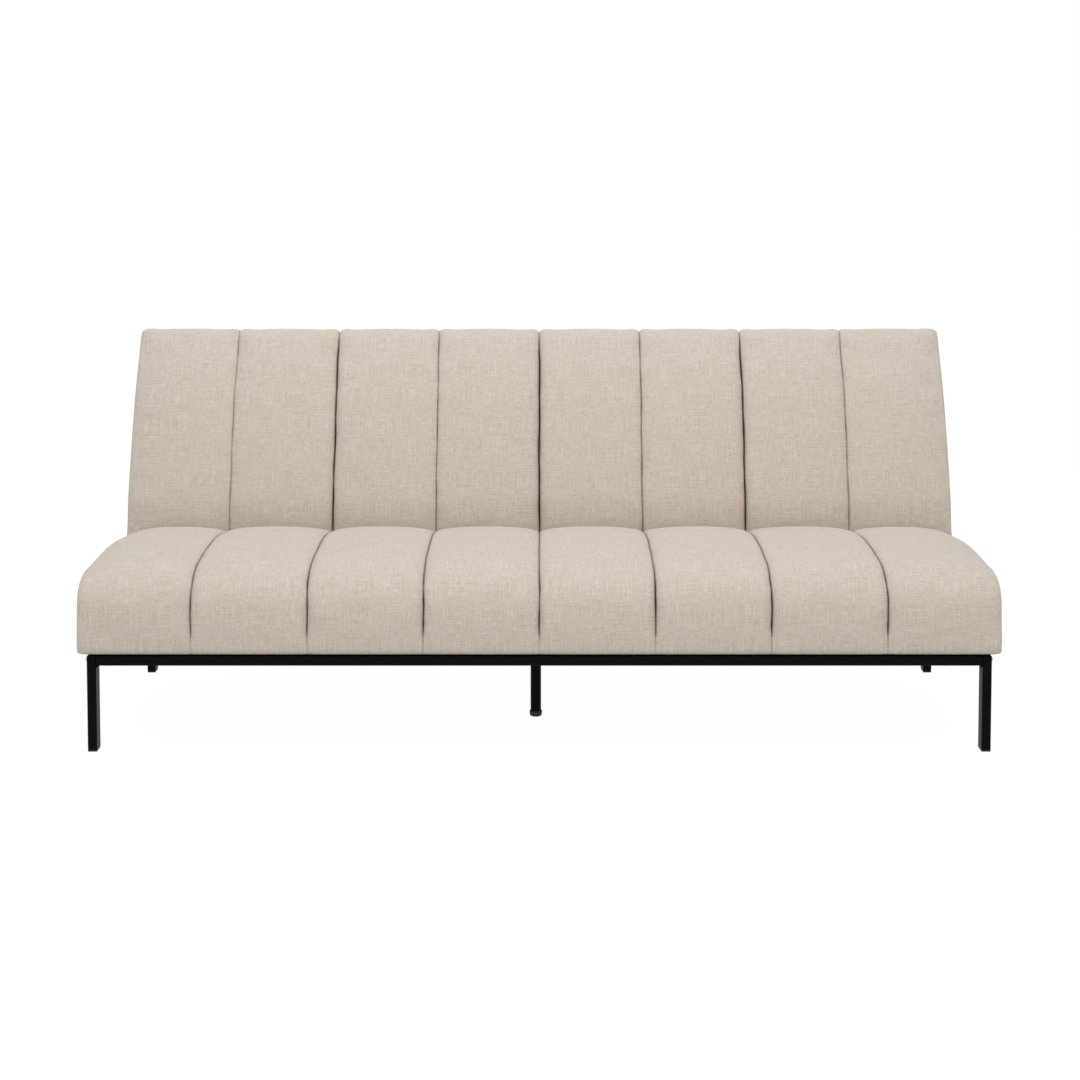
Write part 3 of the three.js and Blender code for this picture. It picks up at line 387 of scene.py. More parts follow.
def to_seam(x):
    """Distance from x to the nearest sewn line between two channels."""
    nearest = np.clip(np.round(x / channel_width), 1 - CHANNELS // 2, CHANNELS // 2 - 1)
    return np.abs(x - nearest * channel_width), nearest.astype(int)


print("channels are", round(channel_width * 1000, 1), "mm wide")

# %% [markdown]
# ## Meshes from a loft
# A loft's points become one closed mesh: quads between the stations, rings that shrink to the
# middle of each end panel, and a small groove where that panel is sewn in. The UV map is laid out
# in metres, so threads keep their size wherever the cloth goes. An end panel is cut from its own
# piece of cloth, so it is laid flat on the map, with its threads along the cushion's own edges.

# %% Loft mesh
# Each ring of an end panel: its share of the way to the middle, and how far it crowns in mm.
END_PANEL = ((0.012, -0.6), (0.03, 1.2), (0.07, 2.0), (0.16, 2.5), (0.33, 3.4), (0.6, 3.8),
             (0.85, 4.0))
PANEL_PLACE = np.array([3.0, 0])
# The vertex attribute that carries painted shade for the sewn slits.
SEAM_SHADE_LAYER = "seam"


def end_rings(ring, sign):
    """The rings of an end panel: a sewn groove, then a slight crown."""
    middle = ring.mean(0)
    rings = []
    for share, crown in END_PANEL:
        inner = ring * (1 - share) + middle * share
        inner[:, 0] = ring[:, 0] + sign * crown * MM
        rings.append(inner)
    return rings


def lay_panel(face, uv_layer, turn):
    """Lays an end panel's face flat on the cloth, with its threads along the section's own axes."""
    for loop in face.loops:
        loop[uv_layer].uv = np.array(loop.vert.co.yz) @ turn.T + PANEL_PLACE


def loft_mesh(name, grid, along, around, turn=np.eye(2), seam_shades=None):
    """A closed mesh from a grid, with its UV map in metres and its seam attribute of painted shade.
    """
    left, right = end_rings(grid[0], -1), end_rings(grid[-1], 1)
    rings = [*reversed(left), *grid, *right]
    first, last = len(left), len(left) + len(grid) - 1
    bm = bmesh.new()
    uv_layer = bm.loops.layers.uv.new("cloth")
    seam_shade_layer = bm.verts.layers.float.new(SEAM_SHADE_LAYER)
    verts = [[bm.verts.new(p) for p in ring] for ring in rings]
    if seam_shades is not None:
        for row, values in zip(verts[first:first + len(grid)], seam_shades):
            for vert, value in zip(row, values):
                vert[seam_shade_layer] = value
    count = len(along)
    reach = [*along, around]
    for i in range(len(rings) - 1):
        for j in range(count):
            k = (j + 1) % count
            face = bm.faces.new([verts[i][j], verts[i][k], verts[i + 1][k], verts[i + 1][j]])
            if not first <= i < last:
                lay_panel(face, uv_layer, turn)
                continue
            corners = [(i, j), (i, j + 1), (i + 1, j + 1), (i + 1, j)]
            for loop, (a, b) in zip(face.loops, corners):
                loop[uv_layer].uv = (grid[a - first, 0, 0], reach[b])
    for ring, flip in ((verts[0], True), (verts[-1], False)):
        pole = bm.verts.new(np.mean([v.co[:] for v in ring], 0))
        for j in range(count):
            a, b = ring[j], ring[(j + 1) % count]
            lay_panel(bm.faces.new([b, a, pole] if flip else [a, b, pole]), uv_layer, turn)
    bmesh.ops.recalc_face_normals(bm, faces=bm.faces)
    return new_object(name, bm), first * count


# %% [markdown]
# ## Swelling the cloth
# Blender's cloth solver pushes the cover out with air pressure while the sewn lines, the underside
# and the end panels stay pinned. The cloth starts two percent larger than its section, so it
# gathers a little beside each seam, as a cover that is sewn by hand does. Twenty frames are enough,
# and a cap keeps any point from moving further than real wadding would.

# %% Swell
STATIONS_PER_CHANNEL = 14
CLOTH_FRAMES = 20
PRESSURE = 4.0
SWELL_ROOM = 6 * MM
SWELL_CAP = 8 * MM
SWELL_RANK = 70
HELD_BELOW = 0.3
CLOTH_SETTINGS = {
    "quality": 6, "mass": 0.35, "tension_stiffness": 18, "compression_stiffness": 18,
    "shear_stiffness": 6, "bending_stiffness": 0.8, "use_pressure": True,
    "uniform_pressure_force": PRESSURE, "shrink_min": -0.02, "vertex_group_mass": "sewn",
}


def settle_cloth(pad, sewn):
    """Runs the cloth solver on a pad whose listed points are pinned, and returns its new points."""
    group = pad.vertex_groups.new(name="sewn")
    group.add(sewn, 1.0, "REPLACE")
    cloth = pad.modifiers.new("cloth", "CLOTH")
    for name, value in CLOTH_SETTINGS.items():
        setattr(cloth.settings, name, value)
    cloth.settings.effector_weights.gravity = 0
    cloth.point_cache.frame_start, cloth.point_cache.frame_end = 1, CLOTH_FRAMES
    for frame_number in range(1, CLOTH_FRAMES + 1):
        scene.frame_set(frame_number)
    settled = pad.evaluated_get(bpy.context.evaluated_depsgraph_get()).to_mesh()
    points = np.array([v.co[:] for v in settled.vertices])
    scene.frame_set(1)
    return points


def swell(name, rows, along, around, place, soft_end):
    """How far each free point of the cover moves when the cloth is inflated."""
    reach = CHANNELS // 2 * STATIONS_PER_CHANNEL
    xs = np.arange(-reach, reach + 1) * channel_width / STATIONS_PER_CHANNEL
    xs = np.clip(xs, -half_width, half_width)
    grid = place(loft(rows, xs, soft_end, SWELL_ROOM))
    pad, first = loft_mesh(name + "_cloth", grid, along, around)
    count = len(rows)
    seam_station = to_seam(xs)[0] < MM
    held = seam_station[:, None] | (rows[:, 2] < HELD_BELOW)[None]
    held[0], held[-1] = True, True
    free = {first + i * count + j for i, j in zip(*np.nonzero(~held))}
    sewn = [v.index for v in pad.data.vertices if v.index not in free]
    moved = settle_cloth(pad, sewn)[first:first + grid.shape[0] * count].reshape(grid.shape) - grid
    length = np.linalg.norm(moved, axis=2, keepdims=True)
    moved *= SWELL_ROOM / np.percentile(length[~held], SWELL_RANK)
    length = np.linalg.norm(moved, axis=2, keepdims=True)
    moved *= np.minimum(1, SWELL_CAP / np.maximum(length, 1e-9))
    bpy.data.objects.remove(pad)
    print(name, "swelled by", round(float(length.max() * 1000), 1), "mm at most,",
          round(float(length[~held].mean() * 1000), 1), "mm on average")
    return xs, moved


def between(xs, values, wanted):
    """Catmull-Rom values at the wanted stations from values at the coarse ones."""
    place = np.interp(wanted, xs, np.arange(len(xs)))
    start = np.minimum(place.astype(int), len(xs) - 2)
    t = (place - start)[:, None, None]
    pick = [values[np.clip(start + offset, 0, len(xs) - 1)] for offset in (-1, 0, 1, 2)]
    a, b, c, d = pick
    return 0.5 * (2 * b + (c - a) * t + (2 * a - 5 * b + 4 * c - d) * t ** 2
                  + (3 * b - a - 3 * c + d) * t ** 3)


# %% [markdown]
# ## Sewing the channels
# A sewn line pulls the cloth into a slit that is much deeper than it is wide, so hardly any light
# comes out of it. The slit wanders by a millimetre and opens unevenly, because the cloth is pulled
# tight by hand. The cloth dips towards it in a soft lip, with small gathers along both sides. On
# top of that, painted shade darkens each slit brown, and its lip faintly.

# %% Sew
SLIT_DEPTH = 8 * MM
SLIT_WIDTH = 1.5 * MM
LIP_DEPTH = 4 * MM
LIP_WIDTH = 10 * MM
LIP_SHADE = 0.14
SHADE_REACH = 1.1
WANDER = 0.8 * MM
WANDER_REACH = 30 * MM
WANDER_WAVES = ((9 * MM, 0.3), (23 * MM, 0.6), (60 * MM, 0.7))
GATHER = 0.5 * MM
GATHER_REACH = 11 * MM
GATHER_PITCH = 26 * MM
GATHER_DRIFT, DRIFT_PITCH = 1.7, 70 * MM
UNEVEN = 0.3
UNEVEN_LONG, UNEVEN_SHORT = 41 * MM, 17 * MM
# How much painted shade the seams round each end panel get.
END_SEAM_SHADE = 0.35
SEAM_STEPS = np.array([1.0, 2.1, 3.8, 7, 14, 24, 40, 62, 90]) * MM
END_STEPS = np.array([0.8, 3, 7, 13, 22, 34, 50, 70, 96]) * MM
random = np.random.default_rng(7)
seam_phases = random.uniform(0, 2 * math.pi, (CHANNELS + 1, 4))


def fine_stations():
    """Stations that crowd round each seam and each end."""
    places = {0.0, cover_half - channel_width / 2, half_width}
    for seam in np.arange(CHANNELS // 2) * channel_width:
        places.update([seam, seam + channel_width / 2, *(seam + SEAM_STEPS), *(seam - SEAM_STEPS)])
    places.update(half_width - END_STEPS)
    right = sorted({round(p, 5) for p in places if p > 0})
    return np.array([-p for p in reversed(right)] + [0.0] + right)


def sew(rows, along, xs, grid, normals, tightness):
    """Cuts the slits into a grid of points, and returns how much painted shade each point gets."""
    distance, index = to_seam(xs)
    tight = np.array(tightness)[index + CHANNELS // 2 - 1][:, None]
    phase = seam_phases[index + CHANNELS // 2]
    tight = tight * (1 + UNEVEN * np.sin(along[None] / UNEVEN_LONG + phase[:, [1]])
                     * np.sin(along[None] / UNEVEN_SHORT + phase[:, [2]]))
    wander = sum(np.sin(along[None] / pitch + phase[:, [k]]) * size
                 for k, (pitch, size) in enumerate(WANDER_WAVES)) * WANDER
    gather = np.sin(along[None] * 2 * math.pi / GATHER_PITCH + phase[:, [3]]
                    + GATHER_DRIFT * np.sin(along[None] / DRIFT_PITCH)) * GATHER
    fade = np.minimum(1, rows[:, 5])
    tight = np.minimum(tight, rows[:, 5])
    apart = distance[:, None] / (SLIT_WIDTH * (0.7 + 0.4 * tight))
    lip = np.exp(-(distance / LIP_WIDTH) ** 2)[:, None]
    pinch = gather * np.exp(-(distance / GATHER_REACH) ** 2)[:, None]
    grid[..., 0] += wander * np.exp(-(distance / WANDER_REACH) ** 2)[:, None] * fade
    slit = (SLIT_DEPTH * np.exp(-apart ** 2) + LIP_DEPTH * lip) * tight
    grid -= normals[None] * (slit + pinch * fade)[..., None]
    # What is returned is painted shade: full in the slit, with a faint share over the lip.
    return np.minimum(1, tight) * (np.exp(-(apart / SHADE_REACH) ** 2) + LIP_SHADE * lip)


def sewn_cover(name, keys, corner_reach, soft_end, tightness, place, turn):
    """A finished cover: section, swollen loft, sewn slits and one subdivision."""
    rows, along, around = even_section(keys, corner_reach)
    xs, moved = swell(name, rows, along, around, place, soft_end)
    fine = fine_stations()
    grid = place(loft(rows, fine, soft_end, SWELL_ROOM)) + between(xs, moved, fine)
    normals = np.column_stack([np.zeros(len(rows)), outward(rows[:, :2]) @ turn])
    seam_shades = sew(rows, along, fine, grid, normals, tightness)
    # The seams round the end panels get a fixed share of painted shade.
    seam_shades[0], seam_shades[-1] = END_SEAM_SHADE, END_SEAM_SHADE
    cover, _ = loft_mesh(name, grid, along, around, turn, seam_shades)
    bpy.context.view_layer.objects.active = cover
    cover.select_set(True)
    smooth = cover.modifiers.new("subdivision", "SUBSURF")
    smooth.levels = smooth.render_levels = 1
    bpy.ops.object.modifier_apply(modifier=smooth.name)
    bpy.ops.object.shade_smooth()
    cover.select_set(False)
    cover.data.materials.append(linen)
    print(name, "has", len(cover.data.polygons), "faces")
    return cover


print("fine stations:", len(fine_stations()))

# %% [markdown]
# ## Hollowing a cover
# The covers go round real foam, boards and springs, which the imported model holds. So each finished
# cover is hollowed by the shape of what it holds, grown by a hair, and it gets the same notches for
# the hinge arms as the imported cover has.

# %% Hollow
HOLLOW_GAP = 0.3 * MM
OPEN_BEYOND = 12 * MM


def hull(name, points):
    """A convex solid round some points, grown by the hollow gap."""
    bm = bmesh.new()
    for point in points:
        bm.verts.new(point)
    made = bmesh.ops.convex_hull(bm, input=bm.verts)
    left_over = made["geom_interior"] + made["geom_unused"]
    spare = {part for part in left_over if isinstance(part, bmesh.types.BMVert)}
    bmesh.ops.delete(bm, geom=list(spare), context="VERTS")
    bmesh.ops.dissolve_limit(bm, angle_limit=math.radians(1), verts=bm.verts, edges=bm.edges)
    bmesh.ops.recalc_face_normals(bm, faces=bm.faces)
    bm.normal_update()
    shifts = [(vert, vert.normal * HOLLOW_GAP * vert.calc_shell_factor()) for vert in bm.verts]
    for vert, shift in shifts:
        vert.co += shift
    return new_object(name, bm)


def node_points(*names):
    """The corner points of some CAD nodes."""
    return np.array([vert.co[:] for name in names for vert in frame["nodes"][name].data.vertices])


def box_points(x, y, z):
    """The eight corners of a box."""
    return np.array([(a, b, c) for a in x for b in y for c in z])


def cut_away(cover, *cutters):
    """Takes each cutter's space out of a cover."""
    for cutter in cutters:
        taken = cover.modifiers.new("cut", "BOOLEAN")
        taken.operation, taken.solver, taken.object = "DIFFERENCE", "EXACT", cutter
        bpy.context.view_layer.objects.active = cover
        bpy.ops.object.modifier_apply(modifier=taken.name)
        bpy.data.objects.remove(cutter)
    print(cover.name, "has", len(cover.data.polygons), "faces once it is hollow")


# %% [markdown]
# ## Seat cushion
# The seat is a deep foam block whose front edge rolls over in a soft nose. Its seams run from the
# crease at the back over the nose and die out above the lower hem, where the cover is pulled
# straight under the frame.

# %% Seat cushion
low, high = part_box("seat_cover")
SEAT_NOSE = (150 * MM, 92 * MM)
SEAT_NOSE_POWER = 2.4
SEAT_REAR_DROP = 11 * MM
SEAT_CROWN = 7 * MM
SEAT_REAR_RADIUS = 28 * MM
SEAT_TOE = 13 * MM
SEAT_SOLE = (60 * MM, 30 * MM, 3 * MM)
SEAT_HEEL = 40 * MM
SEAT_HEM = 50 * MM
SEAM_END = 74 * MM
SEAT_CORNER = 7 * MM
SEAT_END = (28 * MM, 95 * MM)
NOSE_PULL = 0.6
CREASE_PULL = 0.35
# Each seam's tightness: a tighter seam gets a deeper slit and more painted shade.
SEAT_TIGHTNESS = [0.62, 0.8, 0.82, 0.78, 0.92, 0.95, 0.8]
ARM_SLOT_SIDES = (939, 948.3)
ARM_SLOT_DEPTH = 36 * MM
ARM_SLOT_OPEN = 9 * MM
ARM_SLOT_FOOT = 219 * MM
ARM_SLOT_ROOM = 3 * MM


def seat_sole_and_rear():
    """Key rows of the seat's flat sole, its rear and the round edge above that."""
    front, middle, rear = low.y + SEAT_SOLE[0], high.y - SEAT_SOLE[1], high.y - SEAT_SOLE[2]
    rows = [
        (low.y + SEAT_TOE, low.z, 0.1, 0, 0.4, 0), (front, low.z, 0, 0, 0.4, 0),
        (middle, low.z, 0, 0, 0.4, 0), (rear, low.z, 0, 0, 0.4, 0),
        (high.y, low.z + SEAT_HEEL, 0.1, 0, 0.6, 0.2),
        (high.y, low.z + SEAT_NOSE[1], 0.2, 0, 0.6, 0.4),
    ]
    radius = SEAT_REAR_RADIUS
    for angle in np.linspace(0, math.pi / 2, 6):
        share = 0.6 + 0.4 * angle * 2 / math.pi
        y = high.y - radius + radius * math.cos(angle)
        z = high.z - SEAT_REAR_DROP - radius * (1 - math.sin(angle))
        rows.append((y, z, 1.35 * share, share, 1 - share, 0.6))
    return rows


def seat_section():
    """Key rows of the seat's section, anticlockwise from the lower front."""
    nose_y, nose_z = low.y + SEAT_NOSE[0], high.z - SEAT_NOSE[1]
    top_rear = high.y - SEAT_REAR_RADIUS
    rows = seat_sole_and_rear()
    for share in np.linspace(0.07, 0.93, 13):
        lift = SEAT_CROWN * math.sin(math.pi * share) ** 0.8 - SEAT_REAR_DROP * (1 - share) ** 3.5
        crease = max(0, 1 - share / 0.4)
        rows.append((top_rear + (nose_y - top_rear) * share, high.z + lift,
                     1 + CREASE_PULL * crease, 1, 0, 0.6))
    for angle in np.linspace(0, math.pi / 2, 18):
        forward = math.sin(angle) ** (2 / SEAT_NOSE_POWER)
        upward = math.cos(angle) ** (2 / SEAT_NOSE_POWER)
        rows.append((nose_y - SEAT_NOSE[0] * forward, nose_z + SEAT_NOSE[1] * upward,
                     1 + NOSE_PULL * math.sin(2 * angle), 1 - 0.8 * forward, 0.8 * forward,
                     0.6 + 0.7 * forward ** 4))
    hem = low.z + SEAT_HEM
    rows += [
        (low.y + 0.4 * MM, low.z + SEAM_END, 0.85, 0.15, 0.8, 1.3),
        (low.y + 0.8 * MM, hem + 7 * MM, 0.6, 0.1, 0.8, 1.1),
        (low.y + 1.5 * MM, hem - 4 * MM, 0.4, 0, 0.7, 0.22),
        (low.y + 4 * MM, low.z + 9 * MM, 0.3, 0, 0.6, 0.2),
    ]
    return rows


def arm_slot(side):
    """The notch in the seat's rear where its arm comes out."""
    across = [side * x * MM for x in ARM_SLOT_SIDES]
    along = (high.y - ARM_SLOT_DEPTH, high.y + ARM_SLOT_OPEN)
    return hull("arm_slot", box_points(across, along, (ARM_SLOT_FOOT, arm_top + ARM_SLOT_ROOM)))


arm_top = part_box("seat_arm_left")[1].z
seat_cushion = sewn_cover("seat_cushion", seat_section(), SEAT_CORNER, SEAT_END, SEAT_TIGHTNESS,
                          lambda grid: grid, np.eye(2))
inside = node_points("seat_foam", "seat_frame", "seat_dust_cover")
below = inside - [0, 0, inside[:, 2].min() - low.z + OPEN_BEYOND]
seat_space = hull("seat_space", np.vstack([inside, below[inside[:, 2] < low.z + MM]]))
cut_away(seat_cushion, seat_space, arm_slot(-1), arm_slot(1))
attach(seat_cushion, "seat")
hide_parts("seat_cover")

# %% [markdown]
# ## Back cushion
# The back leans on its hinge by about 23 degrees. It is thinner than the seat and swells most
# behind the sitter's waist. Its seams run from the crease right over the top edge. They aren't sewn
# alike: three are pulled tight, with deeper slits and more painted shade, so they look dark, and the
# four between them and at the ends are loose. The section is drawn in the back's own depth and
# height and then leaned over on the hinge.

# %% Back cushion
BACK_LEAN = math.radians(22.8)
BACK_LENGTH = 568 * MM
BACK_THICKNESS = 150 * MM
BACK_RADIUS = 28 * MM
TOP_RADIUS = 20 * MM
TOP_PROUD = 8 * MM
PAD_FRONT = 14 * MM
BACK_BULGE = 37 * MM
BACK_CORNER = 6 * MM
BACK_END = (16 * MM, 60 * MM)
# Each seam's tightness: a tighter seam gets a deeper slit and more painted shade.
BACK_TIGHTNESS = [0.35, 1.0, 0.45, 1.45, 0.5, 1.15, 0.42]
BACK_FLARE = 0.005
HINGE_RISE = 32.8 * MM
HINGE_INSET = 39.5 * MM
BULGE_PLACES = [0, 0.08, 0.17, 0.31, 0.48, 0.66, 0.81, 0.93, 1]
BULGE_SHARES = [0.08, 0.42, 0.8, 0.93, 1, 0.92, 0.64, 0.24, 0.1]
HINGE_SLOT_SIDES = (925, 967.2)
HINGE_SLOT_DEPTHS = (10 * MM, 162 * MM)
HINGE_SLOT_RISES = (-12 * MM, 54 * MM)
lean_sin, lean_cos = math.sin(BACK_LEAN), math.cos(BACK_LEAN)
back_turn = np.array([[lean_cos, -lean_sin], [lean_sin, lean_cos]])
recline = next(j for j in frame["joints"] if j["name"] == "back_recline")
hinge_y, hinge_z = recline["pos_m"][1:]
corner_y = hinge_y - HINGE_RISE * lean_sin - HINGE_INSET * lean_cos
corner_z = hinge_z + HINGE_INSET * lean_sin - HINGE_RISE * lean_cos


def lean_back(grid):
    """Places the back's own depth and height in the leaning frame on the hinge."""
    depth, rise = grid[..., 1], grid[..., 2]
    return np.dstack([grid[..., 0], corner_y + depth * lean_cos + rise * lean_sin,
                      corner_z - depth * lean_sin + rise * lean_cos])


def slit_room(bulge, channel):
    """The share of the full slit that fits between the cloth and the foam under it."""
    return 0.8 * (PAD_FRONT - MM + bulge - CHANNEL_DEPTH * channel) / (SLIT_DEPTH + LIP_DEPTH)


def round_edge(middle, radius, start, end, count):
    """Points of a rounded edge in depth and height, each with its share of the way round."""
    for angle in np.linspace(start, end, count):
        yield (middle[0] + radius * math.cos(angle), middle[1] + radius * math.sin(angle),
               (angle - start) * 2 / math.pi)


def back_foot_and_rear(top):
    """Key rows of the back's foot, its flat rear and the edge round to its top."""
    radius, rear = BACK_RADIUS, BACK_THICKNESS
    rows = [(radius, 0, 0, 0, 0.4, 0), (rear / 2, 0, 0, 0, 0.4, 0)]
    for depth, rise, _ in round_edge((rear - radius, radius), radius, -math.pi / 2, 0, 5):
        rows.append((depth, rise, 0, 0, 0.25, 0))
    rows += [(rear, top / 2, 0, 0, 0.15, 0)]
    for depth, rise, share in round_edge((rear - radius, top - radius), radius, 0, math.pi / 2, 5):
        rows.append((depth, rise, 0.25 * share, 0, 0.15 + 0.85 * share, 0.5 * share))
    return rows + [(rear / 2, top, 0.6, 0, 1, 0.9)]


def back_section():
    """Key rows of the back's section in its own depth and height, anticlockwise from the foot."""
    radius, top = BACK_RADIUS, BACK_LENGTH + TOP_PROUD
    rows = back_foot_and_rear(top)
    for angle in np.linspace(0, math.pi / 2, 6):
        share = angle * 2 / math.pi
        feel = 0.7 + 0.3 * share
        rows.append((TOP_RADIUS * (1 - math.sin(angle)), top - TOP_RADIUS * (1 - math.cos(angle)),
                     feel, 0.8 * share, 1 - 0.8 * share, slit_room(TOP_PROUD * (1 - share), feel)))
    face_foot, face_top = radius, top - TOP_RADIUS
    for place in np.linspace(0.985, 0.02, 40):
        bulge = BACK_BULGE * np.interp(place, BULGE_PLACES, BULGE_SHARES)
        rows.append((-bulge, face_foot + (face_top - face_foot) * place, 1, 1, 0,
                     slit_room(bulge, 1)))
    for angle in np.linspace(0, math.pi / 2, 5)[:-1]:
        share = angle * 2 / math.pi
        rows.append((radius - radius * math.cos(angle), radius - radius * math.sin(angle),
                     0.5 - 0.4 * share, 0.6 - 0.5 * share, 0.3, 0.2 - 0.2 * share))
    return rows


def flared_back(grid):
    """The cover's ends grow a little towards its foot, where it is packed fullest."""
    near_foot = np.clip(1 - grid[..., 2] / BACK_LENGTH, 0, 1)
    flare = BACK_FLARE * near_foot ** 2 * (grid[..., 0] / cover_half) ** 4
    return lean_back(np.dstack([grid[..., 0] * (1 + flare), grid[..., 1:]]))


def hinge_slot(side):
    """The notch in the back's foot where the bracket and its arms turn."""
    across = [side * x * MM for x in HINGE_SLOT_SIDES]
    corners = box_points(across, HINGE_SLOT_DEPTHS, HINGE_SLOT_RISES)
    return hull("hinge_slot", lean_back(corners[:, None])[:, 0])


back_cushion = sewn_cover("back_cushion", back_section(), BACK_CORNER, BACK_END, BACK_TIGHTNESS,
                          flared_back, back_turn)
inside = node_points("back_foam", "back_frame", "back_webbing", "back_rear_panel")
beyond = node_points("back_rear_panel") + np.array([0, lean_cos, -lean_sin]) * OPEN_BEYOND
back_space = hull("back_space", np.vstack([inside, beyond]))
cut_away(back_cushion, back_space, hinge_slot(-1), hinge_slot(1))
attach(back_cushion, "back")
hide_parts("back_cover")

# %% [markdown]
# ## Powder coated steel
# The base is mild steel tube, sprayed with black powder and baked. The coat is a smooth, slightly
# dimpled plastic film, so it is a dielectric: dark from the front, and pale only where it is seen
# at a low angle. Like most rigid finishes here it is one fine grain in the piece's own space, so
# one function makes them all.

# %% A finish from one grain
def grained(name, colour, roughness, grain, texture="ShaderNodeTexNoise", stops=None, rough=None,
            dents=None, **sockets):
    """A finish with one grain in the piece's own space, which can tint, roughen and dent it."""
    material, tree, shader = new_material(name, colour, roughness, **sockets)
    place = add_node(tree, "ShaderNodeTexCoord").outputs["Object"]
    marks = add_node(tree, texture, grain, Vector=place).outputs[0]
    if stops:
        add_node(tree, "ShaderNodeValToRGB", {"stops": stops}, feeds=shader.inputs["Base Color"],
                 Fac=marks)
    if rough:
        add_node(tree, "ShaderNodeMapRange", {"To Min": rough[0], "To Max": rough[1]},
                 feeds=shader.inputs["Roughness"], Value=marks)
    if dents:
        add_node(tree, "ShaderNodeBump", {"Strength": dents[0], "Distance": dents[1]},
                 feeds=shader.inputs["Normal"], Height=marks)
    return material


# %% Powder coated steel
COAT_BLACK = "#060707"
COAT_GRAIN = 2.2 * MM
COAT_DIMPLE = 0.2 * MM
powder_coat = grained("black_powder_coat", COAT_BLACK, 0.42,
                      {"Scale": 1 / COAT_GRAIN, "Detail": 2.0}, rough=(0.36, 0.5),
                      dents=(0.12, COAT_DIMPLE), Specular_IOR_Level=0.05)
finish_nodes(powder_coat, "front_rail", "rear_rail", "centre_crossbar", "centre_leg",
             *both_sides("side_rail_*", "leg_front_*", "leg_rear_*", "bracket_*", "seat_arm_*",
                         "back_arm_*"))
print("powder coat ready")

# %% [markdown]
# ## Rear panel of the back
# The rear of the back is closed by a piece of the same linen, pulled tight over the frame and
# tucked in all round. It is a thin sheet, not a block, so it is laid out as a fine grid whose last
# few millimetres turn in, with slight scallops between the hidden staples, and then given the
# cloth's thickness.

# %% Stretched sheets
TUCK = 3.5 * MM
TUCK_STEPS = np.array([0, 0.3, 0.65]) * TUCK
STAPLE_PITCH = 65 * MM
SCALLOP = 0.35 * MM
SCALLOP_REACH = 18 * MM


def edge_steps(half, step):
    """Even steps across a sheet, with three close ones at each edge."""
    count = round(2 * (half - TUCK) / step)
    inner = np.linspace(-half + TUCK, half - TUCK, count + 1)
    return np.concatenate([-half + TUCK_STEPS, inner, half - TUCK_STEPS[::-1]])


def tucked_points(xs, ys, half_x, half_y, tuck_depth):
    """Grid points of a tight sheet, with its edges turned in and scalloped between the staples."""
    points = np.dstack([*np.meshgrid(xs, ys, indexing="ij"), np.zeros((len(xs), len(ys)))])
    side, end = half_x - np.abs(points[..., 0]), half_y - np.abs(points[..., 1])
    margin = np.minimum(side, end)
    turned = np.clip(1 - margin / TUCK, 0, 1)
    along = np.where(side < end, points[..., 1], points[..., 0])
    scallops = SCALLOP * (0.5 + 0.5 * np.cos(along * 2 * math.pi / STAPLE_PITCH))
    points[..., 2] -= tuck_depth * (1 - np.sqrt(1 - turned ** 2))
    points[..., 2] -= scallops * np.exp(-margin / SCALLOP_REACH)
    return points


def stretched_sheet(name, half_x, half_y, step, tuck_depth, thickness, place):
    """A tight sheet with its edges tucked in. Its own axes are across, along and out."""
    xs, ys = edge_steps(half_x, step), edge_steps(half_y, step)
    points = tucked_points(xs, ys, half_x, half_y, tuck_depth)
    bm = bmesh.new()
    cloth = bm.loops.layers.uv.new("cloth")
    verts = [[bm.verts.new(p) for p in row] for row in place(points)]
    for i in range(len(xs) - 1):
        for j in range(len(ys) - 1):
            corners = ((i, j), (i + 1, j), (i + 1, j + 1), (i, j + 1))
            face = bm.faces.new([verts[a][b] for a, b in corners])
            for loop, (a, b) in zip(face.loops, corners):
                loop[cloth].uv = (xs[a], ys[b])
    sheet = new_object(name, bm)
    bpy.context.view_layer.objects.active = sheet
    sheet.select_set(True)
    wall = sheet.modifiers.new("cloth_thickness", "SOLIDIFY")
    wall.thickness, wall.offset = thickness, -1
    bpy.ops.object.modifier_apply(modifier=wall.name)
    bpy.ops.object.shade_smooth_by_angle(angle=math.radians(40))
    sheet.select_set(False)
    print(name, "has", len(sheet.data.polygons), "faces")
    return sheet


# %% Rear panel
PANEL_CLOTH = 1.6 * MM
PANEL_STEP = 16 * MM
PANEL_TUCK = 2.2 * MM
panel = node_points("back_rear_panel")
panel_depth = (panel[:, 1] - corner_y) * lean_cos - (panel[:, 2] - corner_z) * lean_sin
panel_rise = (panel[:, 1] - corner_y) * lean_sin + (panel[:, 2] - corner_z) * lean_cos
panel_half = (panel_rise.max() - panel_rise.min()) / 2
panel_middle = (panel_rise.max() + panel_rise.min()) / 2
panel_side = panel[:, 0].max()


def on_rear(points):
    """Places a sheet on the rear of the back, facing out."""
    return lean_back(np.dstack([-points[..., 0], panel_depth.max() + points[..., 2],
                                panel_middle + points[..., 1]]))


rear_panel = stretched_sheet("rear_panel_cloth", panel_side, panel_half, PANEL_STEP, PANEL_TUCK,
                             PANEL_CLOTH, on_rear)
cut_away(rear_panel, hinge_slot(-1), hinge_slot(1))
rear_panel.data.materials.append(linen)
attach(rear_panel, "back")
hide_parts("back_rear_panel")

# %% [markdown]
# ## Dust cover
# Under the seat a thin black non-woven cloth keeps dust and springs apart. It is pulled flat and
# stapled to the underside of the timber frame. It is spunbonded plastic fibre, pressed together in
# small dimples, which look matt black with a faint grid. The real dimples are about a millimetre,
# drawn here at two.

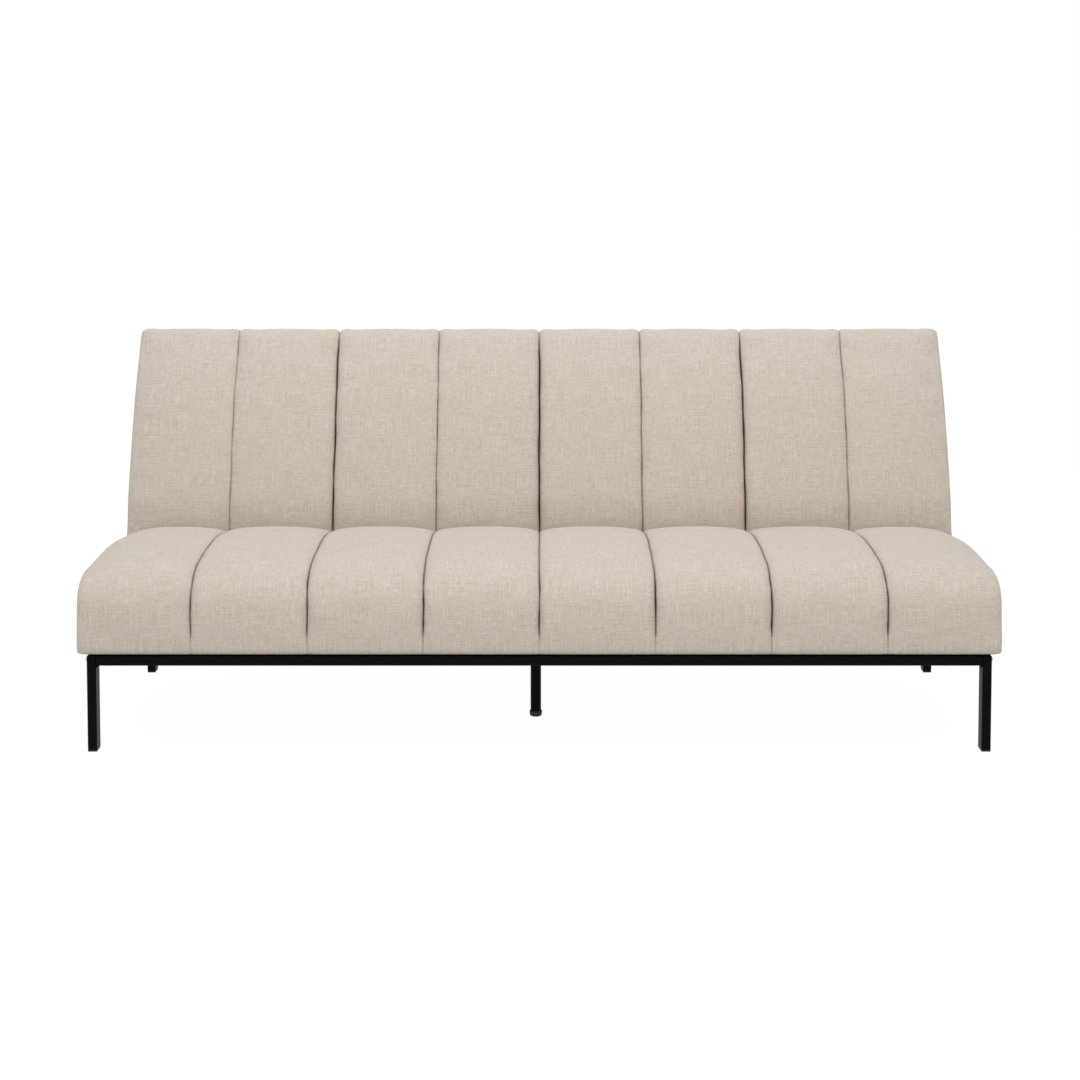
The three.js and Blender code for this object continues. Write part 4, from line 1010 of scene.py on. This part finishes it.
# %% Dust cover
DUST_CLOTH = 0.5 * MM
DUST_STEP = 24 * MM
DUST_TUCK = 0.6 * MM
DIMPLE_PITCH = 2.0 * MM
DIMPLE_DEPTH = 0.3 * MM
FIBRE_CLUMPS_PER_METRE = 900.0
cover_low, cover_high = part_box("seat_dust_cover")
cover_middle = (cover_low.y + cover_high.y) / 2


def under_seat(points):
    """Places a sheet flat under the seat, facing down."""
    return np.dstack([points[..., 0], cover_middle - points[..., 1], cover_low.z - points[..., 2]])


nonwoven, tree, shader = new_material("black_nonwoven_cloth", "#17171a", 0.95,
                                      Specular_IOR_Level=0.2)
place = add_node(tree, "ShaderNodeTexCoord").outputs["Object"]
dimples = add_node(tree, "ShaderNodeTexVoronoi", {"Scale": 1 / DIMPLE_PITCH, "Randomness": 0.15},
                   Vector=place)
fibres = add_node(tree, "ShaderNodeTexNoise", {"Scale": FIBRE_CLUMPS_PER_METRE, "Detail": 3.0},
                  Vector=place)
add_node(tree, "ShaderNodeValToRGB", {"stops": {0: "#0f0f11", 1: "#242428"}},
         feeds=shader.inputs["Base Color"], Fac=fibres.outputs["Fac"])
add_node(tree, "ShaderNodeBump", {"Strength": 0.5, "Distance": DIMPLE_DEPTH},
         feeds=shader.inputs["Normal"], Height=dimples.outputs["Distance"])

dust_cloth = stretched_sheet("dust_cloth", cover_high.x, (cover_high.y - cover_low.y) / 2,
                             DUST_STEP, DUST_TUCK, DUST_CLOTH, under_seat)
dust_cloth.data.materials.append(nonwoven)
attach(dust_cloth, "seat")
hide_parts("seat_dust_cover")

# %% [markdown]
# ## Plastic and rubber
# The leg plugs and the centre foot are injection moulded polypropylene, whose satin skin copies a
# finely spark-eroded mould. The buffers under the back are moulded rubber, softer and duller, a
# little chalky where the back lands on them.

# %% Plastic and rubber
SPARK_GRAIN = 0.9 * MM
SPARK_DEPTH = 0.15 * MM
RUBBER_DEPTH = 0.2 * MM
BLOOMS_PER_METRE = 160.0

plastic = grained("black_polypropylene", "#0e0e10", 0.5, {"Scale": 1 / SPARK_GRAIN, "Detail": 3.0},
                  rough=(0.42, 0.62), dents=(0.25, SPARK_DEPTH), Specular_IOR_Level=0.35)
finish_nodes(plastic, "centre_foot", *both_sides("glide_front_*", "glide_rear_*"))

rubber = grained("moulded_rubber", "#1a1a1a", 0.85, {"Scale": BLOOMS_PER_METRE, "Detail": 4.0},
                 stops={0: "#141414", 1: "#2b2a29"}, dents=(0.3, RUBBER_DEPTH),
                 Specular_IOR_Level=0.25)
finish_nodes(rubber, *both_sides("bed_buffer_*"))
print("plastic and rubber ready")

# %% [markdown]
# ## Zinc plate and spring steel
# Bolts, pins and the ratchet pawls are steel with a thin clear zinc plate: a light blue-grey metal
# with a fine crystal pattern of rougher and smoother grains. The springs are oil-tempered wire and
# strip, which comes out of the bath dark, with a soft sheen.

# %% Zinc plate and spring steel
ZINC_CRYSTAL = 2.5 * MM
HAZE_PER_METRE = 70.0
OIL_MARKS_PER_METRE = 220.0

zinc, tree, shader = new_material("zinc_plated_steel", "#b6babd", 0.34, metallic=1.0)
place = add_node(tree, "ShaderNodeTexCoord").outputs["Object"]
crystals = add_node(tree, "ShaderNodeTexVoronoi", {"Scale": 1 / ZINC_CRYSTAL}, Vector=place)
haze = add_node(tree, "ShaderNodeTexNoise", {"Scale": HAZE_PER_METRE, "Detail": 3.0}, Vector=place)
add_node(tree, "ShaderNodeValToRGB", {"stops": {0: "#a3a8ad", 1: "#c6c8c4"}},
         feeds=shader.inputs["Base Color"], Fac=haze.outputs["Fac"])
add_node(tree, "ShaderNodeMapRange", {"To Min": 0.26, "To Max": 0.44},
         feeds=shader.inputs["Roughness"], Value=crystals.outputs["Distance"])
finish_nodes(zinc, *both_sides("leg_bolt_front_*", "leg_bolt_rear_*", "bracket_bolt_front_*",
                               "bracket_bolt_rear_*", "seat_arm_bolt_front_*",
                               "seat_arm_bolt_rear_*", "back_arm_bolt_low_*",
                               "back_arm_bolt_high_*", "hinge_pin_*", "pawl_*", "pawl_pin_*"))

tempered = grained("oil_tempered_steel", "#3e4046", 0.38,
                   {"Scale": OIL_MARKS_PER_METRE, "Detail": 4.0}, rough=(0.3, 0.48),
                   stops={0: "#2c2d33", 1: "#55565a"}, metallic=1.0)
finish_nodes(tempered, "seat_springs")
print("metals ready")

# %% [markdown]
# ## Pawl springs
# Each ratchet pawl is pushed into its notches by a strip of spring steel, riveted at its foot, with
# its tip leaning on the pawl. The strip bends when the pawl swings, so a copy of the imported strip
# is cut across into short lengths.

# %% Pawl springs
LEAF_LENGTHS = 14
MERGE_WITHIN = 0.01 * MM
for side in ("left", "right"):
    spring = f"pawl_spring_{side}"
    strip = bpy.data.objects.new(f"pawl_leaf_{side}", frame["nodes"][spring].data.copy())
    scene.collection.objects.link(strip)
    bpy.ops.object.select_all(action="DESELECT")
    bpy.context.view_layer.objects.active = strip
    strip.select_set(True)
    foot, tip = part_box(spring)
    bpy.ops.object.mode_set(mode="EDIT")
    bpy.ops.mesh.select_all(action="SELECT")
    bpy.ops.mesh.remove_doubles(threshold=MERGE_WITHIN)
    for height in np.linspace(foot.z, tip.z, LEAF_LENGTHS + 1)[1:-1]:
        bpy.ops.mesh.select_all(action="SELECT")
        bpy.ops.mesh.bisect(plane_co=(0, 0, height), plane_no=(0, 0, 1))
    bpy.ops.object.mode_set(mode="OBJECT")
    strip.select_set(False)
    strip.data.materials.clear()
    strip.data.materials.append(tempered)
    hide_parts(spring)
    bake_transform(strip)
    print(strip.name, "has", len(strip.data.polygons), "faces")

# %% [markdown]
# ## Timber, foam and webbing
# Inside are planed pine boards, slabs of polyurethane foam and stretched elastic webbing. Nobody
# sees them unless the sofa is opened, but each still gets its own look: straight yellow grain with
# darker late wood, open foam cells, and webbing with a coloured stripe. Foam cells are under a
# millimetre, drawn at two.

# %% Timber, foam and webbing
GROWTH_RING = 4.5 * MM
GRAIN_STRETCH = 0.05
GRAIN_RIDGE = 0.2 * MM
FOAM_CELL = 2.0 * MM
CELL_DEPTH = 0.5 * MM
STRIPE_PITCH = 16 * MM
RIB_PITCH = 3 * MM
RIB_DEPTH = 0.4 * MM

timber, tree, shader = new_material("planed_pine", "#d9b985", 0.6, Specular_IOR_Level=0.35)
place = add_node(tree, "ShaderNodeTexCoord").outputs["Object"]
along_x = add_node(tree, "ShaderNodeMapping", {"Scale": (GRAIN_STRETCH, 1, 1)}, Vector=place)
rings = add_node(tree, "ShaderNodeTexWave",
                 {"wave_type": "RINGS", "rings_direction": "X", "Distortion": 3.0, "Detail": 3.0,
                  "Detail Scale": 1.2, "Scale": WAVE_PERIOD / GROWTH_RING},
                 Vector=along_x.outputs[0]).outputs["Fac"]
add_node(tree, "ShaderNodeValToRGB", {"stops": {0: "#e2c592", 1: "#b98a52"}},
         feeds=shader.inputs["Base Color"], Fac=rings)
add_node(tree, "ShaderNodeBump", {"Strength": 0.15, "Distance": GRAIN_RIDGE},
         feeds=shader.inputs["Normal"], Height=rings)
finish_nodes(timber, "seat_frame", "back_frame")

foam = grained("open_cell_foam", "#e6dab4", 0.98, {"Scale": 1 / FOAM_CELL}, "ShaderNodeTexVoronoi",
               stops={0: "#cdbf92", 1: "#eee4c2"}, dents=(0.6, CELL_DEPTH), Specular_IOR_Level=0.1)
finish_nodes(foam, "seat_foam", "back_foam")

webbing, tree, shader = new_material("elastic_webbing", "#3a3733", 0.85, Specular_IOR_Level=0.2)
place = add_node(tree, "ShaderNodeTexCoord").outputs["Object"]
stripes = add_node(tree, "ShaderNodeTexWave",
                   {"bands_direction": "Z", "Scale": WAVE_PERIOD / STRIPE_PITCH}, Vector=place)
add_node(tree, "ShaderNodeValToRGB", {"stops": {0.55: "#2c2a28", 0.75: "#7d6a50"}},
         feeds=shader.inputs["Base Color"], Fac=stripes.outputs["Fac"])
ribs = add_node(tree, "ShaderNodeTexWave",
                {"bands_direction": "X", "Scale": WAVE_PERIOD / RIB_PITCH}, Vector=place)
add_node(tree, "ShaderNodeBump", {"Strength": 0.4, "Distance": RIB_DEPTH},
         feeds=shader.inputs["Normal"], Height=ribs.outputs["Fac"])
finish_nodes(webbing, "back_webbing")
print("inner materials ready")

# %% Finish
print("scene finished")
